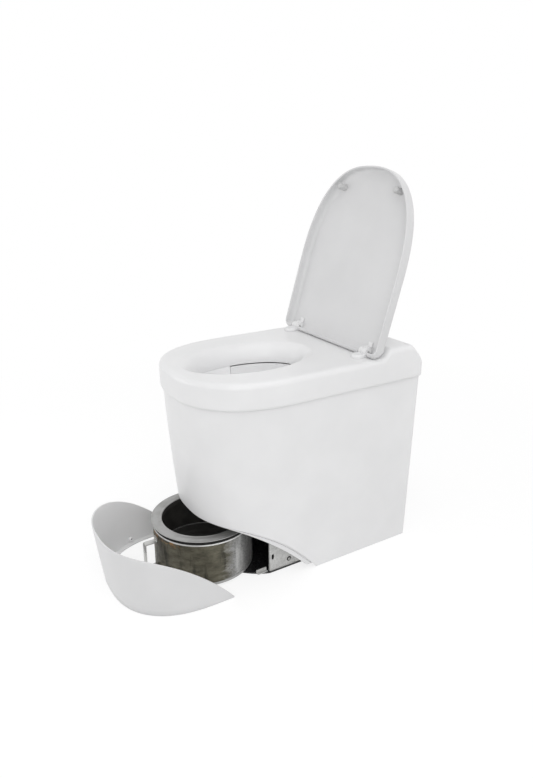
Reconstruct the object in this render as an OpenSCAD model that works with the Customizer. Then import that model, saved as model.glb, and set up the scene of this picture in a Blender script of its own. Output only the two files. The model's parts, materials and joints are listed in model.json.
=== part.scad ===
// Incinerating toilet, drawn with its lid open, its ash pan pulled out and its front panel taken off.
// X is across, Y runs from the front (minus) to the rear (plus), Z is up, and the floor is Z = 0.
// The origin lies on the floor at the middle of the body.

/* [Overall] */
// Width across the top casing
total_w = 390; // [380:1:410]
// Depth from the front of the top casing to its rear edge
total_d = 595; // [590:1:615]
// Height of the seat surface above the floor
seat_z = 519; // [510:1:530]
// Rise of the rear ridge above the seat surface
ridge_rise = 21; // [16:1:26]
// Squareness of the curve round the front
front_power = 2.5; // [2.3:0.1:2.7]
// Distance from the middle of the body to where its straight sides end at the top
straight_top = 64; // [58:1:70]
// The same distance at the floor
straight_floor = 54; // [50:1:60]

/* [Outer casing] */
// Wall of the outer casing
casing_wall = 3; // [2.5:0.5:4]
// Step from the side of the top casing in to the side of the outer casing
casing_step = 6; // [5:0.5:8]
// How far each side draws in from the top casing down to the floor
side_draw = 11.5; // [8:0.5:14]
// How far the front draws in from the top casing down to the floor
front_draw = 42; // [36:1:46]
// How far the rear draws in from the top casing down to the floor
rear_draw = 3; // [2:0.5:5]
// How far the front swells out halfway between the top casing and the floor
front_swell = 5; // [3:0.5:7]
// Radius of the upright rear corners
rear_corner_r = 10; // [8:1:12]
// Width of the return flange that the rear panel is screwed to
rear_flange = 14; // [12:1:18]
// Height of the front opening at its crest
scoop_h = 160; // [154:1:164]
// Place of that crest ahead of the middle of the body
scoop_crest = 263; // [258:1:268]
// Place where the opening runs out on the floor, ahead of the middle of the body
scoop_end = 5; // [0:1:12]
// Depth of the lip that shows below the edge of the opening at the sides
lip_drop = 14; // [11:1:16]
// Depth of the lip at the middle of the front
lip_front = 3; // [2:0.5:6]
// Height of the lip behind the casing wall
lip_lap = 10; // [8:1:14]
// Thickness of the lip
lip_t = 2.5; // [2:0.5:3]

/* [Top casing] */
// Height of the lower edge of the top casing above the floor
band_z = 457; // [450:1:462]
// Wall of the top casing
deck_wall = 4; // [3:0.5:5]
// Radius of the outer edge of the seat surface
deck_fillet = 14; // [10:1:16]
// How far the outer casing runs up inside the top casing
casing_lap = 23; // [18:1:26]
// Width of the ledge that sits on the outer casing
ledge_w = 4.5; // [4:0.5:6]
// Start of the step up to the rear ridge, behind the middle of the body
ridge_foot_y = 170; // [168:1:176]
// Depth of the slope up to the rear ridge
ridge_slope = 16; // [12:1:20]
// Depth of the rear chamfer
chamfer_d = 39; // [30:1:44]
// Height of the rear chamfer
chamfer_h = 45; // [36:1:48]

/* [Bowl] */
// Half width of the neck below the seat
neck_w = 86; // [80:1:90]
// Half length of the neck below the seat
neck_l = 140; // [134:1:144]
// Distance from the front of the top casing back to the middle of the bowl
bowl_back = 202.5; // [199.5:0.5:205.5]
// Depth from the seat surface to the neck
neck_drop = 48; // [44:1:52]
// Width of the soft roll from the seat surface into the neck
roll_w = 36; // [30:1:38]
// Depth of the bowl below the neck
bowl_depth = 104; // [96:1:108]
// Wall of each bowl half
bowl_wall = 3; // [2.5:0.5:4]
// Half width of the flat bottom of the bowl
bowl_floor_w = 34; // [28:1:40]
// Half length of the flat bottom of the bowl
bowl_floor_l = 52; // [44:1:60]
// Radius of each pivot shaft of the bowl
bowl_shaft_r = 5; // [4:0.5:6]
// Length of each pivot shaft of the bowl
bowl_shaft_len = 150; // [144:1:160]
// Thickness of each ear and bearing plate of the bowl
bowl_ear_t = 6; // [5:0.5:8]

/* [Lid] */
// Length of the lid
lid_len = 443; // [438:1:448]
// Height of the lid over its rim
lid_h = 27.7; // [26:0.1:30]
// Wall of the lid
lid_wall = 4; // [3.5:0.5:4.5]
// Length of the straight sides of the lid
lid_straight = 180; // [170:1:190]
// Radius of the lid's edge round its sides and front
lid_edge_r = 9; // [6:0.5:11]
// Radius of the lid's edge at its rear
lid_rear_r = 25; // [24:0.5:25]
// Radius of the lid's two rear corners
lid_corner_r = 15; // [12:1:18]
// Lean of the open lid past closed
lid_open = 106.5; // [95:0.5:107]
// Gap between the closed lid's rim and the seat surface
lid_gap = 1; // [0.8:0.1:1.5]
// Radius of each rubber bumper
bumper_r = 8.3; // [7:0.1:9]
// Distance of each bumper from the side of the lid
bumper_in = 87.7; // [82.7:1:94.7]
// Distance of the bumpers from the rear edge of the lid
bumper_s = 390; // [384:1:394]

/* [Lid hinges] */
// Distance of each hinge from the middle
hinge_x = 146; // [140:1:150]
// Place of the hinge pins behind the middle of the body
hinge_y = 146; // [144:1:147]
// Height of the hinge pins above the seat surface
hinge_rise = 11; // [10.8:0.1:11.4]
// Overhang of the lid behind its hinge pins
lid_overhang = 10.8; // [10:0.1:11]
// Radius of each hinge pin
hinge_pin_r = 3; // [2.5:0.25:3.5]
// Radius of each hinge knuckle
knuckle_r = 10.2; // [9:0.1:10.3]
// Width of the middle knuckle
knuckle_w = 13.4; // [12:0.2:15]
// Width of each outer knuckle
ear_w = 6; // [5:0.5:8]
// Radius of each hinge foot
foot_r = 16; // [14:0.5:17]
// Height of each hinge foot
foot_h = 9; // [7:0.5:10]
// Distance of each hinge foot ahead of its pin
foot_ahead = 22; // [20:0.5:24]

/* [Ash pan] */
// Radius of the body of the ash pan
pan_r = 123; // [118:1:124]
// Height of the body of the ash pan
pan_h = 114; // [108:1:114]
// Wall of the ash pan
pan_wall = 2; // [1.5:0.5:3]
// Outer radius of the ring on the ash pan
ring_r = 127; // [125:1:129]
// Inner radius of the ring on the ash pan
ring_bore_r = 100; // [96:1:104]
// Height of the ring on the ash pan
ring_h = 9; // [8:0.5:10]
// Height of the gasket under that ring
gasket_h = 3; // [2:0.5:4]
// Place of the ash pan's seat ahead of the middle of the body
pan_seat = 67; // [65:1:69]
// Gap under the ash pan
pan_gap = 5; // [4.8:0.1:6]
// How far the ash pan is pulled out
pan_out = 162; // [150:1:170]
// Radius of the rolled lower edge of the ash pan
pan_roll_r = 4; // [3:0.5:5]
// Reach of the handle ahead of the ash pan
handle_reach = 33; // [28:1:38]
// Height of the handle strap
handle_drop = 70; // [62:1:73]
// Width of the handle strap
handle_w = 16; // [12:1:20]
// Thickness of the handle strap
handle_t = 3; // [2:0.5:4]

/* [Front panel] */
// Wall of the front panel
panel_wall = 3; // [2.5:0.5:4]
// Width of the flange along the foot of the front panel
panel_flange = 15; // [12:1:16]
// Thickness of that flange
panel_flange_t = 2; // [1.5:0.5:3]
// Gap between the seated front panel and the edge of the casing
panel_gap = 4; // [3:0.5:5]
// Height of each blunt tip of the front panel
panel_tip_h = 4; // [3.5:0.5:6]
// How far the front panel is set down ahead of its seat
panel_out = 225.5; // [215:0.5:235]
// Radius of the fixing boss inside the front panel
panel_boss_r = 5; // [4:0.5:6]

/* [Chassis] */
// Distance from the middle to the outside of each chassis side
chassis_x = 140; // [138:1:142]
// Thickness of the chassis steel
sheet_t = 2; // [1.5:0.5:2.5]
// Front edge of the chassis sides, ahead of the middle of the body
chassis_front = 118; // [112:1:122]
// Rear edge of the chassis sides, behind the middle of the body
chassis_rear = 95; // [90:1:100]
// Width of the flange down the front edge of each side
chassis_flange = 6; // [4:0.5:8]
// Thickness of the base plate
base_t = 4; // [3:0.5:4.5]
// Radius of the front of the base plate
base_front_r = 150; // [145:1:155]
// Width of each adjusting slot in the chassis sides
slot_w = 5.5; // [4:0.5:6.5]
// Height of each adjusting slot
slot_h = 13; // [11:1:15]
// Height of each slot above the floor
slot_z = 43; // [38:1:50]
// Radius of each chassis screw
screw_r = 4.2; // [3.5:0.1:4.5]
// Height of the chassis screws above the floor
screw_z = 22; // [18:1:28]
// Side of each frame post
post_w = 16; // [12:1:18]

/* [Combustion chamber] */
// Radius of the bore of the chamber
chamber_r = 97; // [92:1:98]
// Height of the chamber
chamber_h = 112; // [104:1:114]
// Thickness of the insulation
insulation_t = 28; // [24:1:30]
// Radius of the opening in the top of the chamber
chamber_mouth_r = 80; // [70:1:84]
// Radius of the heating element's tube
element_r = 4; // [3:0.5:5]
// Distance of the heating element from the chamber wall
element_in = 12; // [8:1:16]
// Radius of the chamber hatch
hatch_r = 88; // [86:1:90]
// Thickness of the chamber hatch
hatch_t = 11; // [8:1:12]
// Distance of the hatch shaft from the middle, to the side
hatch_shaft_x = 116; // [114:1:118]
// Distance of the hatch shaft behind the middle of the body
hatch_shaft_y = 50; // [48:1:54]
// Radius of the hatch shaft
hatch_shaft_r = 6; // [5:0.5:7]

/* [Exhaust] */
// Radius of the exhaust port tube
port_r = 25; // [20:1:28]
// Radius of the catalyst housing
catalyst_r = 36; // [32:1:38]
// Distance from the rear panel to the exhaust duct, which sets how long the catalyst housing is
duct_gap = 32; // [28:1:38]
// Radius of the fan housing
fan_r = 46; // [43:1:46]
// Depth of the fan housing
fan_d = 44; // [40:1:46]
// Radius of the fan impeller
impeller_r = 40; // [36:1:41]
// Number of blades on the impeller
blades = 16; // [10:1:24]
// Radius of the exhaust spigot
spigot_r = 55; // [50:1:56]
// How far both spigots stand out behind the top casing
spigot_reach = 35; // [25:1:45]
// Height of the exhaust spigot above the floor
spigot_z = 100; // [96:1:104]
// Radius of the air inlet spigot
inlet_r = 38; // [32:1:42]
// Height of the air inlet spigot above the floor
inlet_z = 380; // [360:1:400]
// Distance of the middle of the air inlet spigot from the right side of the top casing
inlet_in = 103; // [95:1:111]

/* [Controls] */
// Radius of the start button
button_r = 11; // [9:0.5:13]
// Travel of the start button
button_travel = 2.5; // [1.5:0.5:3]
// Radius of each status lens
lens_r = 3; // [2:0.5:4]
// Width of the circuit board
board_w = 110; // [90:1:120]
// Height of the circuit board
board_h = 90; // [80:1:110]

/* [Fit] */
// Gap between pieces that sit close to each other
seat_gap = 0.3; // [0.2:0.05:0.4]
// Gap round a shaft or a pin in its bore
run_gap = 0.05; // [0.02:0.01:0.08]
// Gap between sheets that pass each other
pass_gap = 2; // [1.5:0.5:2.5]

/* [Hidden] */

$fn = 64;
half_w = total_w / 2;
rear_y = total_d / 2;
front_l = total_d / 2 - straight_top;
side_w = half_w - casing_step;
casing_rear = rear_y - casing_step - seat_gap;
floor_w = side_w - side_draw;
floor_rear = casing_rear - rear_draw;
floor_l = total_d / 2 - casing_step - front_draw - straight_floor;
casing_top = band_z + casing_lap;
neck_z = seat_z - neck_drop;
ridge_z = seat_z + ridge_rise;
bowl_y = bowl_back - total_d / 2;
pan_y = -pan_seat;
hinge_z = seat_z + hinge_rise;

// Stations run round an outline. Each is a kind and a value: a part of a straight side, an angle of the
// front curve, an angle of a rear corner, or a part of the rear edge.
RIGHT = 0;
FRONT = 1;
LEFT = 2;
LEFT_CORNER = 3;
REAR = 4;
RIGHT_CORNER = 5;

function power_arc(t, w, l, y1) =
    [w * sign(cos(t)) * pow(abs(cos(t)), 2 / front_power), y1 - l * pow(sin(t), 2 / front_power)];

function spot(s, w, l, y1, yr, rc) =
    s[0] == FRONT ? power_arc(s[1], w, l, y1) :
    s[0] == LEFT ? [-w, y1 + (yr - rc - y1) * s[1]] :
    s[0] == RIGHT ? [w, y1 + (yr - rc - y1) * s[1]] :
    s[0] == LEFT_CORNER ? [rc - w - rc * cos(s[1]), yr - rc + rc * sin(s[1])] :
    s[0] == RIGHT_CORNER ? [w - rc + rc * cos(s[1]), yr - rc + rc * sin(s[1])] :
    [(w - rc) * s[1], yr];

function front_arc(steps) = [for (i = [0 : steps]) [FRONT, 180 * i / steps]];

// A closed solid through sections of equal length. Each end is capped flat or by a fan round its middle,
// unless the row of sections closes on itself.
FLAT = 0;
FAN = 1;

function middle(points) = [for (i = [0 : 2]) [for (p = points) p[i]] * [for (p = points) 1] / len(points)];

module sweep(sections, ring = false, cap = FLAT) {
    n = len(sections);
    m = len(sections[0]);
    spans = ring ? n : n - 1;
    sides = [for (i = [0 : spans - 1], j = [0 : m - 1], k = [0, 1])
        let (a = i * m + j, b = i * m + (j + 1) % m)
        let (c = ((i + 1) % n) * m + j, d = ((i + 1) % n) * m + (j + 1) % m)
        k == 0 ? [a, d, b] : [a, c, d]];
    last = (n - 1) * m;
    caps = ring ? [] :
        cap == FLAT ? [[for (j = [0 : m - 1]) j], [for (j = [m - 1 : -1 : 0]) last + j]] :
        [for (j = [0 : m - 1], k = [0, 1]) let (b = (j + 1) % m)
            k == 0 ? [j, b, n * m] : [last + b, last + j, n * m + 1]];
    centres = cap == FAN ? [middle(sections[0]), middle(sections[n - 1])] : [];
    polyhedron(points = concat([for (s = sections, p = s) p], centres), faces = concat(sides, caps),
        convexity = 8);
}

// A hollow cylinder that stands on Z = 0
module tube(r, bore, h) {
    difference() {
        cylinder(r = r, h = h);
        translate([0, 0, -1]) cylinder(r = bore, h = h + 2);
    }
}

// Turns its child's Z to run along plus X or plus Y
module along_x() rotate([0, 90, 0]) children();
module along_y() rotate([-90, 0, 0]) children();

// The child and its mirror image on the other side
module both_sides() {
    children();
    mirror([1, 0, 0]) children();
}

// A block between two corners
module block(low, high) translate(low) cube(high - low);

// Outer casing, its lip and the front panel share one surface, which is straight up its sides and swells
// out round the front.
function swell(s, k) = s[0] == FRONT ? 4 * front_swell * sin(s[1]) * k * max(1 - k, 0) : 0;

function casing_spot(s, z, inset) =
    let (k = z / band_z, rc = max(rear_corner_r - inset, 1))
    let (f = spot(s, floor_w - inset, floor_l - inset, -straight_floor, floor_rear - inset, rc))
    let (t = spot(s, side_w - inset, front_l - casing_step - inset, -straight_top, casing_rear - inset, rc))
    [f.x + (t.x - f.x) * k, f.y + (t.y - f.y) * k - swell(s, k), z];

// Points of the surface from one height to another
function wall_points(s, low, high, inset, steps) =
    [for (i = [0 : steps]) casing_spot(s, low + (high - low) * i / steps, inset)];

function scoop_z(y) = scoop_h * (1 - pow((y + scoop_crest) / (scoop_crest - scoop_end), 2));

// Height at which a station meets the edge of the front opening, found by repeating the step
function cut_z(s, steps = 8, z = 0) =
    steps == 0 ? z : cut_z(s, steps - 1, max(scoop_z(casing_spot(s, z, 0).y), 0));

// Part of the straight side at which the floor outline passes a given y
function side_part(y) = (y + straight_floor) / (floor_rear - rear_corner_r + straight_floor);

scoop_part = side_part(-scoop_end);
side_steps = [0.25, 0.5, 0.75, 1];
corner_steps = [30, 60, 90];
arc_steps = 60;
wall_steps = 5;
panel_steps = 4;
flange_part = 1 - rear_flange / (floor_w - rear_corner_r);

module outer_casing() {
    right_back = [for (i = [3 : -1 : 0]) [RIGHT, scoop_part + (1 - scoop_part) * side_steps[i]]];
    right_scoop = [for (i = [4 : -1 : 1]) [RIGHT, scoop_part * side_steps[i - 1]]];
    left_scoop = [for (i = [1 : 4]) [LEFT, scoop_part * side_steps[i - 1]]];
    left_back = [for (i = [0 : 3]) [LEFT, scoop_part + (1 - scoop_part) * side_steps[i]]];
    stations = concat([[REAR, flange_part]], [for (a = [90, 60, 30]) [RIGHT_CORNER, a]], right_back,
        right_scoop, front_arc(arc_steps), left_scoop, left_back, [for (a = corner_steps) [LEFT_CORNER, a]],
        [[REAR, -flange_part]]);
    color("white") sweep([for (s = stations) concat(wall_points(s, cut_z(s), band_z, 0, wall_steps),
        [casing_spot(s, casing_top, 0), casing_spot(s, casing_top, casing_wall)],
        wall_points(s, band_z, cut_z(s), casing_wall, wall_steps))]);
}

// The lip is deep along the sides and thins out towards the middle of the front
lip_taper = 5;

function lip_depth(s) = s[0] == FRONT ?
    lip_front + (lip_drop - lip_front) * pow(abs(cos(s[1])), lip_taper) : lip_drop;

module casing_lip() {
    near = casing_wall + seat_gap;
    far = near + lip_t;
    ends = [for (i = [3 : -1 : 1]) scoop_part * i / 4];
    stations = concat([for (f = ends) [RIGHT, f]], front_arc(arc_steps),
        [for (i = [2 : -1 : 0]) [LEFT, ends[i]]]);
    color("white") sweep([for (s = stations) let (high = cut_z(s) + lip_lap)
        let (low = max(cut_z(s) - lip_depth(s), panel_flange_t + seat_gap))
        [casing_spot(s, low, near), casing_spot(s, high, near),
        casing_spot(s, high, far), casing_spot(s, low, far)]]);
}

module front_panel() {
    tip_y = (scoop_crest - scoop_end) * sqrt(1 - (panel_tip_h + panel_gap) / scoop_h) - scoop_crest;
    tip_part = side_part(tip_y);
    ends = [for (i = [4 : -1 : 1]) tip_part * i / 4];
    stations = concat([for (f = ends) [RIGHT, f]], front_arc(arc_steps),
        [for (i = [3 : -1 : 0]) [LEFT, ends[i]]]);
    color("gainsboro") translate([0, -panel_out, 0])
        sweep([for (s = stations) let (top = cut_z(s) - panel_gap)
            concat(wall_points(s, 0, top, 0, panel_steps),
            wall_points(s, top, panel_flange_t, panel_wall, panel_steps),
            [casing_spot(s, panel_flange_t, panel_flange), casing_spot(s, 0, panel_flange)])]);
}

// Top casing. Its upper side is a height over the plan, with a soft roll down into the neck.
deck_corner_r = deck_fillet + 4;
skirt_wall = casing_step - front_draw * casing_lap / band_z - seat_gap;
ledge_in = skirt_wall + ledge_w;
ridge_marks = [rear_y - chamfer_d, ridge_foot_y + ridge_slope, ridge_foot_y];
mark_step = 0.02;
tuck = 2;
tuck_h = 6;
ledge_t = 3;

function deck_spot(s, inset) = spot(s, half_w - inset, front_l - inset, -straight_top, rear_y - inset,
    max(deck_corner_r - inset, 1));

function deck_z(y) =
    y < ridge_foot_y ? seat_z :
    y < ridge_foot_y + ridge_slope ? seat_z + ridge_rise * (y - ridge_foot_y) / ridge_slope :
    y < rear_y - chamfer_d ? ridge_z :
    ridge_z - chamfer_h * (y - rear_y + chamfer_d) / chamfer_d;

// Point on an oval round the bowl's middle, in the direction of a given point
function oval_spot(p, a, b) =
    let (t = atan2(p.y - bowl_y, p.x))
    let (r = 1 / sqrt(pow(cos(t) / a, 2) + pow(sin(t) / b, 2)))
    [r * cos(t), bowl_y + r * sin(t)];

function roll_spot(p, turn, back) =
    let (grow = roll_w * (1 - sin(turn)) + back * sin(turn))
    let (q = oval_spot(p, neck_w + grow, neck_l + grow))
    [q.x, q.y, neck_z + neck_drop * cos(turn) - back * cos(turn)];

function mark_parts(e, s) = [for (i = [0 : 2])
    max(e.y > ridge_marks[i] ? (e.y - ridge_marks[i]) / (e.y - s.y) : 0, mark_step * (i + 1))];

function deck_profile(s) =
    let (e = deck_spot(s, deck_fillet))
    let (o = oval_spot(e, neck_w + roll_w, neck_l + roll_w), parts = mark_parts(e, o))
    let (marks = [for (t = parts) e + (o - e) * t], inner = deck_spot(s, ledge_in))
    concat(
        [for (q = [[tuck, 0], [tuck / 3, tuck], [0, tuck_h]]) let (p = deck_spot(s, q.x))
            [p.x, p.y, band_z + q.y]],
        [for (a = [0, 30, 60, 90]) let (p = deck_spot(s, deck_fillet * (1 - cos(a))))
            [p.x, p.y, deck_z(p.y) - deck_fillet * (1 - sin(a))]],
        [for (p = marks) [p.x, p.y, deck_z(p.y)]],
        [for (b = [0 : 18 : 90]) roll_spot(e, b, 0)],
        [for (b = [90 : -30 : 0]) roll_spot(e, b, deck_wall)],
        [for (i = [2 : -1 : 0]) [marks[i].x, marks[i].y, deck_z(marks[i].y) - deck_wall]],
        [[e.x, e.y, deck_z(e.y) - deck_wall], [inner.x, inner.y, deck_z(inner.y) - deck_wall - ledge_t]],
        [for (q = [[ledge_in, casing_top], [skirt_wall, casing_top], [skirt_wall, band_z]])
            let (p = deck_spot(s, q.x)) [p.x, p.y, q.y + (q.y == casing_top ? seat_gap : 0)]]);

function deck_part(y) = (y + straight_top) / (rear_y - deck_corner_r + straight_top);

deck_side_ys = [-20, 30, 80, 125, 152, ridge_foot_y, ridge_foot_y + ridge_slope / 2,
    ridge_foot_y + ridge_slope, ridge_foot_y + ridge_slope + 25, rear_y - chamfer_d - 22,
    rear_y - chamfer_d, rear_y - chamfer_d + 13];
rear_steps = [-1, -0.66, -0.33, 0, 0.33, 0.66, 1];
button_y = (ridge_foot_y + ridge_slope + rear_y - chamfer_d) / 2;
lens_xs = [24, 36, 48];
foot_y = hinge_y - foot_ahead;
hinge_bolt_r = 4;

module top_casing() {
    last = len(deck_side_ys) - 1;
    deep = 2 * (ridge_z - band_z);
    stations = concat(front_arc(48), [for (y = deck_side_ys) [LEFT, deck_part(y)]],
        [for (a = [0, 45, 90]) [LEFT_CORNER, a]],
        [for (g = [for (i = [1 : 5]) rear_steps[i]]) [REAR, g]],
        [for (a = [90, 45, 0]) [RIGHT_CORNER, a]],
        [for (i = [last : -1 : 0]) [RIGHT, deck_part(deck_side_ys[i])]]);
    color("white") difference() {
        sweep([for (s = stations) deck_profile(s)], ring = true);
        translate([0, button_y, band_z]) cylinder(r = button_r + seat_gap, h = deep);
        for (x = lens_xs) translate([x, button_y, band_z]) cylinder(r = lens_r + run_gap, h = deep);
        both_sides() translate([hinge_x, foot_y, band_z]) cylinder(r = hinge_bolt_r + run_gap, h = deep);
    }
}

// Lid, drawn closed with its hinge pins on the X axis, and turned to its open rest
lid_w = half_w - seat_gap;
bumper_x = lid_w - bumper_in;
rim_h = hinge_rise - lid_gap;
inner_r = 10;
lid_rear_low = lid_h - lid_rear_r;
notch_gap = 2.3;
notch_w = 2 * (ear_w + knuckle_w / 2 + 4);
swing_gap = 0.6;

module as_lid() translate([0, hinge_y, hinge_z]) rotate([-lid_open, 0, 0]) translate([0, 0, -rim_h])
    children();

function rear_in(h, r, base) = h <= base ? 0 : r - sqrt(max(r * r - pow(h - base, 2), 0));

// The lower rear edge is round about the hinge pins, so that it clears the seat as the lid swings.
function lid_rear(h) =
    let (turn = h < rim_h ? lid_overhang - sqrt(pow(hinge_rise - swing_gap, 2) - pow(rim_h - h, 2)) : 0)
    max(rear_in(h, lid_rear_r, lid_rear_low), turn);

function lid_ring(inset, rear_inset, h) =
    let (stations = concat(front_arc(40), [for (f = [0.25, 0.5, 0.75]) [LEFT, f]],
        [for (a = [0 : 30 : 90]) [LEFT_CORNER, a]], [for (g = [-0.5, 0, 0.5]) [REAR, g]],
        [for (a = [90 : -30 : 0]) [RIGHT_CORNER, a]], [for (f = [0.75, 0.5, 0.25]) [RIGHT, f]]))
    [for (s = stations) let (p = spot(s, lid_w - inset, lid_len - lid_straight - inset,
        lid_overhang - lid_straight, lid_overhang - rear_inset, max(lid_corner_r - inset, 2))) [p.x,
            p.y, h]];

function lid_outer(a) =
    let (h = lid_h - lid_edge_r * (1 - sin(a)))
    lid_ring(lid_edge_r * (1 - cos(a)), lid_rear(h), h);

function lid_inner(a, h) =
    let (turn = 1 - cos(a), rear = lid_wall + max(rear_in(h, lid_rear_r - lid_wall, lid_rear_low),
        lid_rear(h)))
    lid_ring(lid_wall + inner_r * turn, rear, h);

module lid() {
    ceiling = lid_h - lid_wall;
    steps = [for (i = [0 : 4]) rim_h * i / 4];
    rings = concat([lid_ring(lid_rear_r, 3 * lid_rear_r, lid_h)], [for (a = [90 : -22.5 : 0]) lid_outer(a)],
        [for (i = [4 : -1 : 0]) lid_ring(0, lid_rear(steps[i]), steps[i])],
        [for (i = [0 : 3]) lid_inner(0, steps[i])],
        [for (a = [0 : 22.5 : 90]) lid_inner(a, ceiling - inner_r * (1 - sin(a)))]);
    color("white") as_lid() difference() {
        sweep(rings, cap = FAN);
        both_sides() block([hinge_x - notch_w / 2, -knuckle_r - notch_gap, -1],
            [hinge_x + notch_w / 2, lid_overhang + 2, rim_h + knuckle_r + notch_gap - 1]);
    }
}

module lid_bumpers() {
    color("silver") as_lid() both_sides() translate([bumper_x, lid_overhang - bumper_s, seat_gap - lid_gap])
        cylinder(r = bumper_r, h = lid_h - lid_wall - seat_gap + lid_gap);
}

module lid_hinge_arms() {
    ceiling = lid_h - lid_wall;
    web_w = knuckle_w / 2;
    pad_t = 3.2;
    pad_l = 24;
    color("gainsboro") as_lid() both_sides() difference() {
        union() {
            translate([hinge_x - knuckle_w / 2, 0, rim_h]) along_x() cylinder(r = knuckle_r, h = knuckle_w);
            block([hinge_x - web_w, -pad_l / 2 - 1, rim_h], [hinge_x + web_w, 0, rim_h + knuckle_r + 1]);
            block([hinge_x - web_w, -pad_l, ceiling - pad_t],
                [hinge_x + web_w, -pad_l / 2, ceiling - seat_gap]);
        }
        translate([hinge_x - knuckle_w, 0, rim_h]) along_x()
            cylinder(r = hinge_pin_r + run_gap, h = 2 * knuckle_w);
    }
}

ear_in = knuckle_w / 2 + seat_gap;
ear_out = ear_in + ear_w;
foot_round = 4;
foot_skin = 3;

module hinge_feet() {
    color("white") both_sides() difference() {
        union() {
            translate([hinge_x, foot_y, seat_z]) rotate_extrude()
                polygon(concat([[0, 0], [foot_r, 0]], [for (a = [0 : 15 : 90])
                    [foot_r - foot_round + foot_round * cos(a), foot_h - foot_round + foot_round * sin(a)]],
                    [[0, foot_h]]));
            for (x = [hinge_x - ear_out, hinge_x + ear_in]) {
                translate([x, hinge_y, hinge_z]) along_x() cylinder(r = knuckle_r, h = ear_w);
                block([x, foot_y + 2, seat_z + seat_gap], [x + ear_w, hinge_y, seat_z + foot_h - 1]);
            }
        }
        translate([hinge_x - 2 * ear_out, hinge_y, hinge_z]) along_x()
            cylinder(r = hinge_pin_r + run_gap, h = 4 * ear_out);
        translate([hinge_x - ear_in, hinge_y, hinge_z]) along_x()
            cylinder(r = knuckle_r + seat_gap, h = 2 * ear_in);
        translate([hinge_x, foot_y, seat_z - 1])
            cylinder(r = hinge_bolt_r + run_gap, h = 1 + foot_h - foot_skin);
    }
}

module hinge_pins() {
    color("silver") both_sides() translate([hinge_x - ear_out, hinge_y, hinge_z]) along_x()
        cylinder(r = hinge_pin_r, h = 2 * ear_out);
}

module hinge_bolts() {
    drop = 26;
    color("silver") both_sides() translate([hinge_x, foot_y, seat_z - drop]) {
        cylinder(r = hinge_bolt_r, h = drop + foot_h - foot_skin - seat_gap);
        cylinder(r = 2.2 * hinge_bolt_r, h = drop - deck_wall - seat_gap);
    }
}

// Bowl halves, each on its own shaft. The rear half is the mirror image of the front one.
bowl_rim_z = neck_z - 4;
bowl_gap = 0.5;
bowl_shaft_z = bowl_rim_z - bowl_shaft_r;
bowl_shaft_y = neck_l + bowl_wall + bowl_shaft_r + 5;
ear_x = neck_w / 2;
plate_x = bowl_shaft_len / 2 - 10;
plate_half = 12;
arm_round = 4;
motor_r = 12;
motor_len = 26;

// Ring of the bowl at an angle down its wall, from the rim at 0 to the flat bottom at 90
function bowl_ring(t, wall, lift = 0) =
    let (a = bowl_floor_w + (neck_w + 1 - bowl_floor_w) * cos(t) + wall)
    let (b = bowl_floor_l + (neck_l + 1 - bowl_floor_l) * cos(t) + wall)
    [for (i = [0 : 47]) [a * cos(7.5 * i), -b * sin(7.5 * i),
        bowl_rim_z - (bowl_depth + wall) * sin(t) + lift]];

module bowl_half() {
    turns = [for (t = [0 : 15 : 90]) t];
    difference() {
        sweep([for (t = turns) bowl_ring(t, bowl_wall)], cap = FAN);
        sweep(concat([bowl_ring(0, 0, 1)], [for (t = turns) bowl_ring(t, 0)]), cap = FAN);
        block([-half_w, -bowl_gap, 0], [half_w, rear_y, ridge_z]);
    }
}

// Arms that carry a bowl half on its shaft
module bowl_arms() {
    inner_x = ear_x - bowl_ear_t / 2;
    wall_y = (neck_l + 1 + bowl_wall) * sqrt(1 - pow(inner_x / (neck_w + 1 + bowl_wall), 2));
    both_sides() difference() {
        union() {
            block([inner_x, -bowl_shaft_y, bowl_rim_z - 2 * bowl_shaft_r],
                [inner_x + bowl_ear_t, -wall_y - seat_gap, bowl_rim_z]);
            translate([inner_x, -bowl_shaft_y, bowl_shaft_z]) along_x()
                cylinder(r = bowl_shaft_r + arm_round, h = bowl_ear_t);
        }
        translate([0, -bowl_shaft_y, bowl_shaft_z]) along_x()
            cylinder(r = bowl_shaft_r + run_gap, h = bowl_shaft_len);
    }
}

module bowl_shaft() {
    translate([-bowl_shaft_len / 2, -bowl_shaft_y, bowl_shaft_z]) along_x()
        cylinder(r = bowl_shaft_r, h = bowl_shaft_len);
}

module bearing_plates() {
    both_sides() difference() {
        union() {
            block([plate_x - bowl_ear_t, -bowl_shaft_y - plate_half, bowl_shaft_z - plate_half],
                [plate_x, -bowl_shaft_y + plate_half, bowl_shaft_z + plate_half]);
            block([plate_x - bowl_ear_t, -bowl_shaft_y - plate_half, bowl_shaft_z],
                [plate_x, -bowl_shaft_y, seat_z - deck_wall - seat_gap]);
        }
        translate([plate_x - 2 * bowl_ear_t, -bowl_shaft_y, bowl_shaft_z]) along_x()
            cylinder(r = bowl_shaft_r + run_gap, h = 4 * bowl_ear_t);
    }
}

module bowl_motor() {
    difference() {
        translate([plate_x + seat_gap, -bowl_shaft_y, bowl_shaft_z]) along_x()
            cylinder(r = motor_r, h = motor_len);
        translate([plate_x - 1, -bowl_shaft_y, bowl_shaft_z]) along_x()
            cylinder(r = bowl_shaft_r + seat_gap, h = bowl_shaft_len / 2 - plate_x + 2);
    }
}

module at_front() translate([0, bowl_y, 0]) children();
module at_rear() translate([0, bowl_y, 0]) mirror([0, 1, 0]) children();

module bowl_front_half() color("white") at_front() bowl_half();
module bowl_rear_half() color("white") at_rear() bowl_half();
module bowl_front_shaft() color("silver") at_front() bowl_shaft();
module bowl_rear_shaft() color("silver") at_rear() bowl_shaft();
module bowl_front_arms() color("silver") at_front() bowl_arms();
module bowl_rear_arms() color("silver") at_rear() bowl_arms();

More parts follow.
